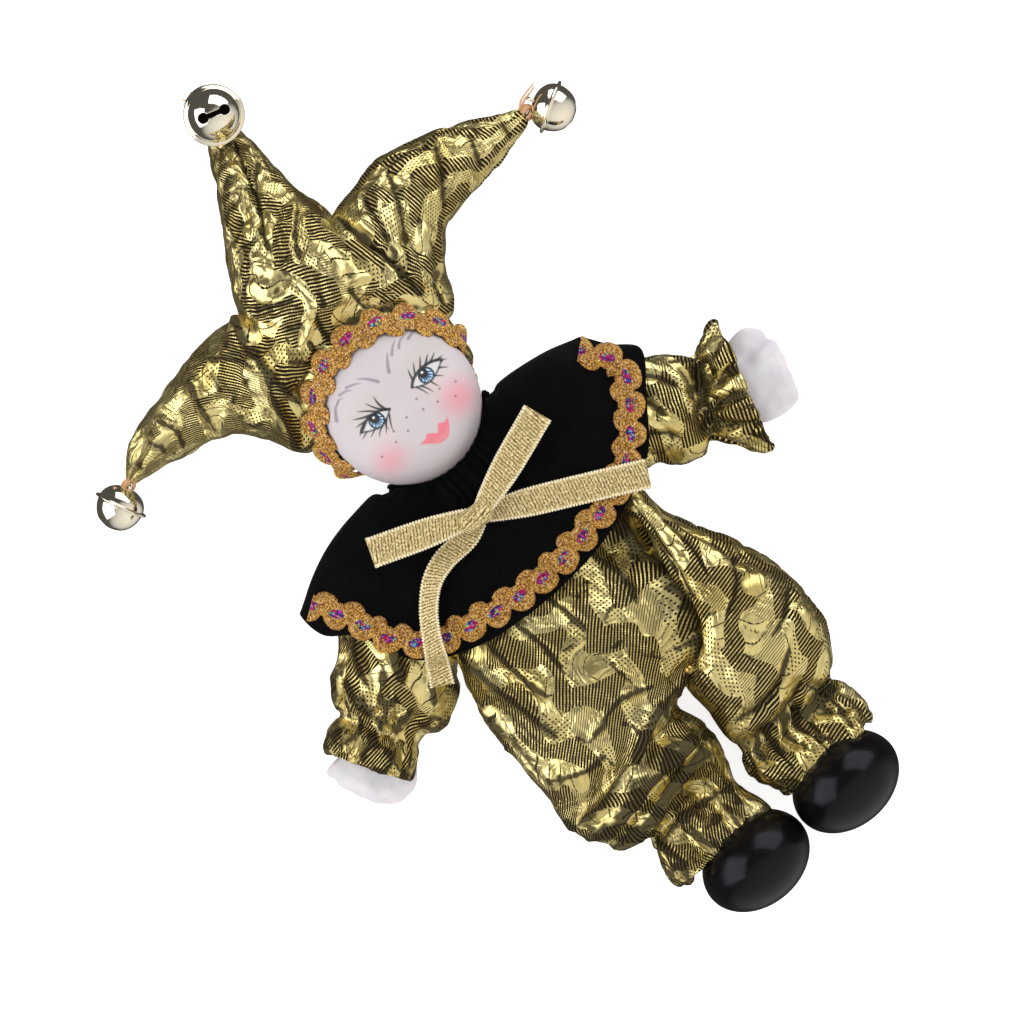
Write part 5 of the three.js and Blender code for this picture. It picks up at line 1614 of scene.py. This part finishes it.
def ribbon_gold():
    s = Shader("gold_ribbon")
    mark = s.mark("cloth", "Vector")
    along, across, edge = s.split(mark)
    place = s.join(along, across)
    sway = s.math("MULTIPLY", s.noise(place, 0.9, 2.0), 5.0)
    ribs = s.wave(s.math("MULTIPLY_ADD", across, 0.22, along), 0.66, sway)
    gaps = s.math("MULTIPLY", s.ramp(ribs, 0.35, 0.75), s.ramp(s.noise(place, 1.3, 2.0), 0.36, 0.50))
    inner = s.math("SUBTRACT", 1.0, s.ramp(edge, 0.72, 0.80))
    gaps = s.math("MULTIPLY", gaps, inner)
    picot = s.math("MULTIPLY", s.ramp(edge, 0.80, 0.88), s.ramp(s.wave(along, 0.62), -0.2, 0.4))
    # glitter specks in the weave: raised, and painted near-white as small highlights
    speck_far = s.cells(place, 3.2)
    tone = s.mix(s.ramp(s.noise(place, 2.2, 2.0), 0.35, 0.65), rgb(0.46, 0.33, 0.11), rgb(0.92, 0.77, 0.42))
    tone = s.mix(s.ramp(speck_far, 0.1, 0.3, 0.8, 0.0), tone, rgb(1.0, 0.95, 0.74))
    tone = s.mix(gaps, tone, rgb(0.16, 0.10, 0.03))
    tone = s.mix(picot, tone, rgb(1.0, 0.93, 0.72))
    relief = s.bump(s.math("MULTIPLY_ADD", speck_far, -0.6, s.math("SUBTRACT", 1.0, gaps)), 0.00014, 0.9)
    return s.finish(Base_Color=tone, Roughness=0.42, Metallic=0.35, Normal=relief)


def ribbon_strip(rows, thick=0.35):
    """A thin closed strip with ribs and picot edges, from rows of centre, unit across vector and width."""
    path = evenly([list(c) + list(a) + [w] for c, a, w in rows], step=0.13)
    centre, across, wide = path[:, :3], unit(path[:, 3:6]), path[:, 6]
    reach = np.concatenate([[0], np.cumsum(np.linalg.norm(np.diff(centre, axis=0), axis=1))])
    share = np.linspace(-1, 1, 17)
    ahead = unit(np.gradient(centre, axis=0))
    normal = unit(np.cross(ahead, across))
    edge = np.abs(share)[None, :]
    picot = 0.12 * np.sin(2 * np.pi * reach / 0.62)[:, None] * ramp(edge, 0.8, 1.0)
    spread = share[None, :] * (wide[:, None] / 2 + picot)
    ribs = 0.055 * np.sin(2 * np.pi * reach / 0.52 + 0.8 * np.sin(reach * 1.1))[:, None]
    ribs = ribs * (1 - ramp(edge, 0.82, 0.9))
    rim = 0.10 * ramp(edge, 0.8, 0.9) * (0.6 + 0.4 * np.sin(2 * np.pi * reach / 0.62))[:, None]
    middle = centre[:, None] + across[:, None] * spread[..., None]
    top = middle + normal[:, None] * (ribs + rim)[..., None]
    low = middle - normal[:, None] * thick
    ring = np.concatenate([top, low[:, ::-1]], axis=1)
    points, faces = closed_tube(ring)
    both = np.concatenate([share, share[::-1]])
    mark_ring = np.stack(
        [
            np.repeat(reach[:, None], 34, 1),
            np.repeat(both[None, :] * 3, len(reach), 0),
            np.repeat(np.abs(both)[None, :], len(reach), 0),
        ],
        -1,
    )
    marks = np.vstack([mark_ring.reshape(-1, 3), mark_ring[0, 0], mark_ring[-1, 0]])
    return points, faces, marks


def bow(ground, material):
    knot = np.array([-5.0, 4.3])
    strips = []

    def across_of(path):
        path = np.asarray(path, float)
        ahead = unit(np.gradient(path[:, :2], axis=0))
        return np.stack([-ahead[:, 1], ahead[:, 0]], 1)

    def laid(path, lift):
        """A tail that lies on what is under it: x, y, width, tilt of the strip in degrees."""
        path = evenly(path, step=1.2)
        side = across_of(path)
        heights = []
        for (x, y, w, tilt), (sx, sy) in zip(path, side):
            under = [ground.top(x + sx * k * w / 2, y + sy * k * w / 2, -99) for k in (-1, -0.5, 0, 0.5, 1)]
            heights.append(max(under[1:4] + [u for u in under if u > under[2] - 1.5]))
        heights = np.array(heights)
        grown = np.array([heights[max(i - 1, 0) : i + 2].max() for i in range(len(heights))])
        grown = np.convolve(np.pad(grown, 1, "edge"), [0.25, 0.5, 0.25], "valid")
        rows = []
        for (x, y, w, tilt), (sx, sy), z in zip(path, side, grown):
            lean = math.radians(tilt)
            across = (sx * math.cos(lean), sy * math.cos(lean), math.sin(lean))
            rows.append(((x, y, z + lift + abs(math.sin(lean)) * w / 2), across, w))
        return rows

    right_tail = [
        [-4, 3.6, 3.6, 0], [-1, 1.9, 4.6, 0], [4, -1.1, 5.7, 0], [14, -7.2, 5.9, 0], [24.5, -13.7, 5.9, 0],
    ]
    strips.append(laid(right_tail, 0.5))
    strips.append(
        laid(
            [
                [-6, 3.4, 3.4, 0],
                [-10, 2.6, 4.4, 0],
                [-16.0, 2.8, 4.6, 14],
                [-21.0, 1.4, 4.4, 26],
                [-25.4, -2.0, 4.2, 30],
                [-28.6, -6.0, 4.2, 26],
                [-31.4, -10.3, 4.6, 16],
                [-34.3, -14.7, 5.0, 6],
            ],
            0.5,
        )
    )
    for end in ((-25.3, 13.9), (17.2, 10.2)):
        far = np.array(end) - knot
        length = float(np.linalg.norm(far))
        way = far / length
        side = np.array([-way[1], way[0], 0.0])
        profile = [
            (0.8, 1.6, 3.4), (length * 0.22, 1.2, 4.8), (length * 0.5, 0.8, 5.9), (length - 1.6, 0.8, 6.1),
            (length - 0.4, 1.1, 6.1), (length - 0.05, 1.7, 6.1), (length - 0.4, 2.3, 6.1),
            (length - 1.6, 2.6, 6.1),
            (length * 0.5, 2.9, 5.9), (length * 0.22, 3.0, 4.6), (0.8, 2.6, 3.2),
        ]
        rows = []
        for reach, up, wide in profile:
            centre = (knot[0] + way[0] * reach, knot[1] + way[1] * reach, 26.9 + up)
            rows.append((centre, tuple(side), wide))
        strips.append(rows)
    shapes, marks = [], []
    for rows in strips:
        points, faces, mark = ribbon_strip(rows)
        shapes.append((points, faces))
        marks.append(mark)
    # the wrapped knot: a flat rounded band across the bow
    way = unit(np.array([1.0, -0.16]))
    rings, knot_marks = [], []
    for i, k in enumerate(np.linspace(-1, 1, 48)):
        bulge = max(0.0, 1 - abs(k) ** 5) ** 0.5 * (0.90 + 0.10 * k * k)
        centre = np.array([knot[0] - 0.9 + way[0] * k * 3.6, knot[1] + 0.1 + way[1] * k * 3.6, 29.8])
        angle = circle(48)
        pleat = 1 + 0.035 * np.sin(angle * 11 + 0.9 * k)
        ring = np.stack(
            [
                centre[0] - way[1] * 2.5 * bulge * signed_power(np.cos(angle), 0.7) * pleat,
                centre[1] + way[0] * 2.5 * bulge * signed_power(np.cos(angle), 0.7) * pleat,
                centre[2] + 1.9 * bulge * signed_power(np.sin(angle), 0.7) * pleat,
            ],
            1,
        )
        rings.append(ring)
        knot_marks.append(np.stack([angle * 2.6, np.full(48, k * 3), np.full(48, abs(k) * 0.7)], 1))
    points, faces = closed_tube(np.array(rings)[:, ::-1])
    mark = np.array(knot_marks)[:, ::-1]
    shapes.append((points, faces))
    marks.append(np.vstack([mark.reshape(-1, 3), mark[0, 0], mark[-1, 0]]))
    points, faces = join(*shapes)
    marks = {"cloth": ("POINT", "FLOAT_VECTOR", np.vstack(marks))}
    return piece("bow_ribbon", points, faces, "ribbon", ["ribbon_bow"], material, marks)


# Threads and bead


def thread_tan():
    s = Shader("sewing_thread")
    place = s.place()
    tint = s.mix(s.noise(place, 1.5, 2.0), rgb(0.55, 0.30, 0.14), rgb(0.80, 0.52, 0.30))
    return s.finish(Base_Color=tint, Roughness=0.7, Normal=s.bump(s.noise(place, 4.0, 2.0), 0.0001, 0.8))


THREADS = {
    "left": (
        [-51.0, 58.5, 5.4], [1.5, 1.3, 1.5],
        [[[-51.4, 58.9, 6.4], [-52.6, 59.2, 7.8], [-53.2, 60.2, 8.5]]],
    ),
    "middle": (
        [13.6, 101.2, 3.8], [1.5, 1.3, 1.3],
        [
            [[13.2, 101.6, 4.6], [12.6, 104.0, 5.2], [11.9, 106.0, 4.6]],
            [[13.8, 101.6, 4.6], [13.7, 104.2, 4.8], [14.1, 106.0, 4.4]],
        ],
    ),
    "right": (
        [59.0, 55.0, 5.4], [1.6, 1.7, 1.6],
        [
            [[58.6, 56.2, 6.6], [59.8, 57.3, 8.0], [62.0, 57.7, 8.8], [64.0, 57.9, 9.2]],
            [[59.0, 56.2, 6.4], [60.4, 56.9, 7.8], [62.2, 57.1, 8.4], [63.6, 57.4, 8.7]],
        ],
    ),
}
KNOT_TURNS = 9


def knot(at, radii):
    """Thread wound round and round in changing directions, as a ball."""
    share = np.linspace(0, 1, 220)
    angle = share * KNOT_TURNS * 2 * np.pi
    lean = 0.9 * np.sin(share * 7.3) + share * 2.0
    path = np.stack([np.cos(angle), np.sin(angle) * np.cos(lean), np.sin(angle) * np.sin(lean)], 1)
    return np.asarray(at) + path * (0.9 + 0.1 * np.sin(angle * 0.37))[:, None] * np.asarray(radii)


def threads(material):
    for name, (at, radii, ends) in THREADS.items():
        shapes = [bar(knot(at, radii), 0.26, 8)]
        shapes += [bar(path, lambda share: 0.26 - 0.1 * share, 10, 6) for path in ends]
        points, faces = join(*shapes)
        piece("tie_thread_" + name, points, faces, "sewing_thread", ["bell_thread_" + name], material)


head()
brass = polished_brass()
bells(brass)
threads(thread_tan())
glaze, white = black_glaze(), bisque()
for side, (x, y, lean) in {"left": (-14.8, -84, -0.08), "right": (9.1, -85.5, -0.05)}.items():
    piece("shoe_" + side, *shoe(x, y, lean), "foot_glaze", ["foot_" + side], glaze)
    piece("ankle_" + side, *ankle(x, y, lean), "porcelain_hand", (), white)
for side, palm, wrist, sign in (
    ("left", PALM_LEFT, [[-56, -16.4, 8.6], [-44, -9.6, 7.6], [-38, -6.2, 7.6]], -1),
    ("right", PALM_RIGHT, [[52, -15.4, 8.6], [40, -9.4, 7.6], [34, -6.4, 7.6]], 1),
):
    piece("mitten_" + side, *hand(palm, wrist, sign), "porcelain_hand", ["hand_" + side], white)
velvet_cape, cape_points, cape_faces, cape_area = cape(velvet())
cape_ground = Ground((cape_points, cape_faces))
gold_gimp = gimp_gold()
hem = hem_gimp(cape_ground, gold_gimp)
brim_gimp(gold_gimp)
all_ground = Ground((cape_points, cape_faces), plan_shape(hem), plan_shape(bpy.data.objects["suit_cloth"]))
bow(all_ground, ribbon_gold())
bead_axes = axes_along([0, 0, 1], [1, 0, 0])
bead_profile = [(1.0 * math.cos(a), 1.0 * math.sin(a)) for a in np.linspace(-1.5, 1.5, 24)]
bead = turned(bead_profile, (2.8, -46.9, 24.7), bead_axes, 32)
piece("seam_bead", *bead, "bead", ["trouser_bead"], old_brass())


# Floor, light and camera


def area_light(name, direction, distance, size, radiance, mirrored=True):
    """A rectangular softbox that faces the doll. Radiance is how bright its face is."""
    lamp = bpy.data.lights.new(name, "AREA")
    lamp.shape = "RECTANGLE"
    lamp.size, lamp.size_y = size
    lamp.energy = radiance * size[0] * size[1] * math.pi
    made = placed(name, lamp)
    way = Vector(direction).normalized()
    made.location = way * distance + Vector((0, 0, 0.01))
    made.rotation_euler = way.to_track_quat("Z", "Y").to_euler()
    made.visible_glossy = mirrored
    return made


def stage():
    mesh = bpy.data.meshes.new("floor")
    r = 1.2
    mesh.from_pydata([(-r, -r, 0), (r, -r, 0), (r, r, 0), (-r, r, 0)], [], [(0, 1, 2, 3)])
    floor = placed("floor", mesh)
    floor.location.z = -0.00005
    floor.visible_glossy = False
    s = Shader("white_table")
    white = rgb(1, 1, 1)
    mesh.materials.append(
        s.finish(Base_Color=rgb(0.7, 0.7, 0.7), Roughness=0.7, Emission_Color=white, Emission_Strength=0.8)
    )
    world = bpy.data.worlds.new("studio")
    bpy.context.scene.world = world
    world.use_nodes = True
    tree = world.node_tree
    background = tree.nodes["Background"]
    way = tree.nodes.new("ShaderNodeTexCoord").outputs["Generated"]
    lift = tree.nodes.new("ShaderNodeVectorMath")
    lift.operation = "DOT_PRODUCT"
    tree.links.new(way, lift.inputs[0])
    lift.inputs[1].default_value = (0, -0.94, 0.34)
    fade = tree.nodes.new("ShaderNodeValToRGB")
    tree.links.new(lift.outputs["Value"], fade.inputs[0])
    stops = fade.color_ramp.elements
    stops[0].position, stops[0].color = 0.0, rgb(0.05, 0.045, 0.04)
    stops[1].position, stops[1].color = 1.0, rgb(0.88, 0.84, 0.76)
    for position, grey in ((0.12, 0.10), (0.34, 0.47), (0.6, 0.66)):
        stops.new(position).color = rgb(grey, grey * 0.98, grey * 0.93)
    tree.links.new(fade.outputs[0], background.inputs[0])
    background.inputs[1].default_value = 1.0
    area_light("key_left", (-0.75, 0.52, 0.50), 0.8, (0.98, 0.84), 2.15)
    area_light("key_right", (0.85, 0.47, 0.42), 0.8, (0.98, 0.76), 2.0)
    area_light("overhead", (0.0, -0.2, 1.0), 1.3, (1.1, 1.1), 1.15, False)
    area_light("front_fill", (0.1, -0.9, 0.5), 0.9, (0.7, 0.5), 1.15, False)


CAMERA_LENS = 180.0


def camera():
    lens = bpy.data.cameras.new("camera")
    lens.lens = CAMERA_LENS
    lens.sensor_width = 36.0
    made = placed("camera", lens)
    made.location = metres([0.0, 0.0, CAMERA_AIM + CAMERA_FAR])
    made.rotation_euler = (0, 0, math.radians(-45))
    bpy.context.scene.camera = made
    bpy.context.scene.view_settings.view_transform = "Standard"


stage()
camera()
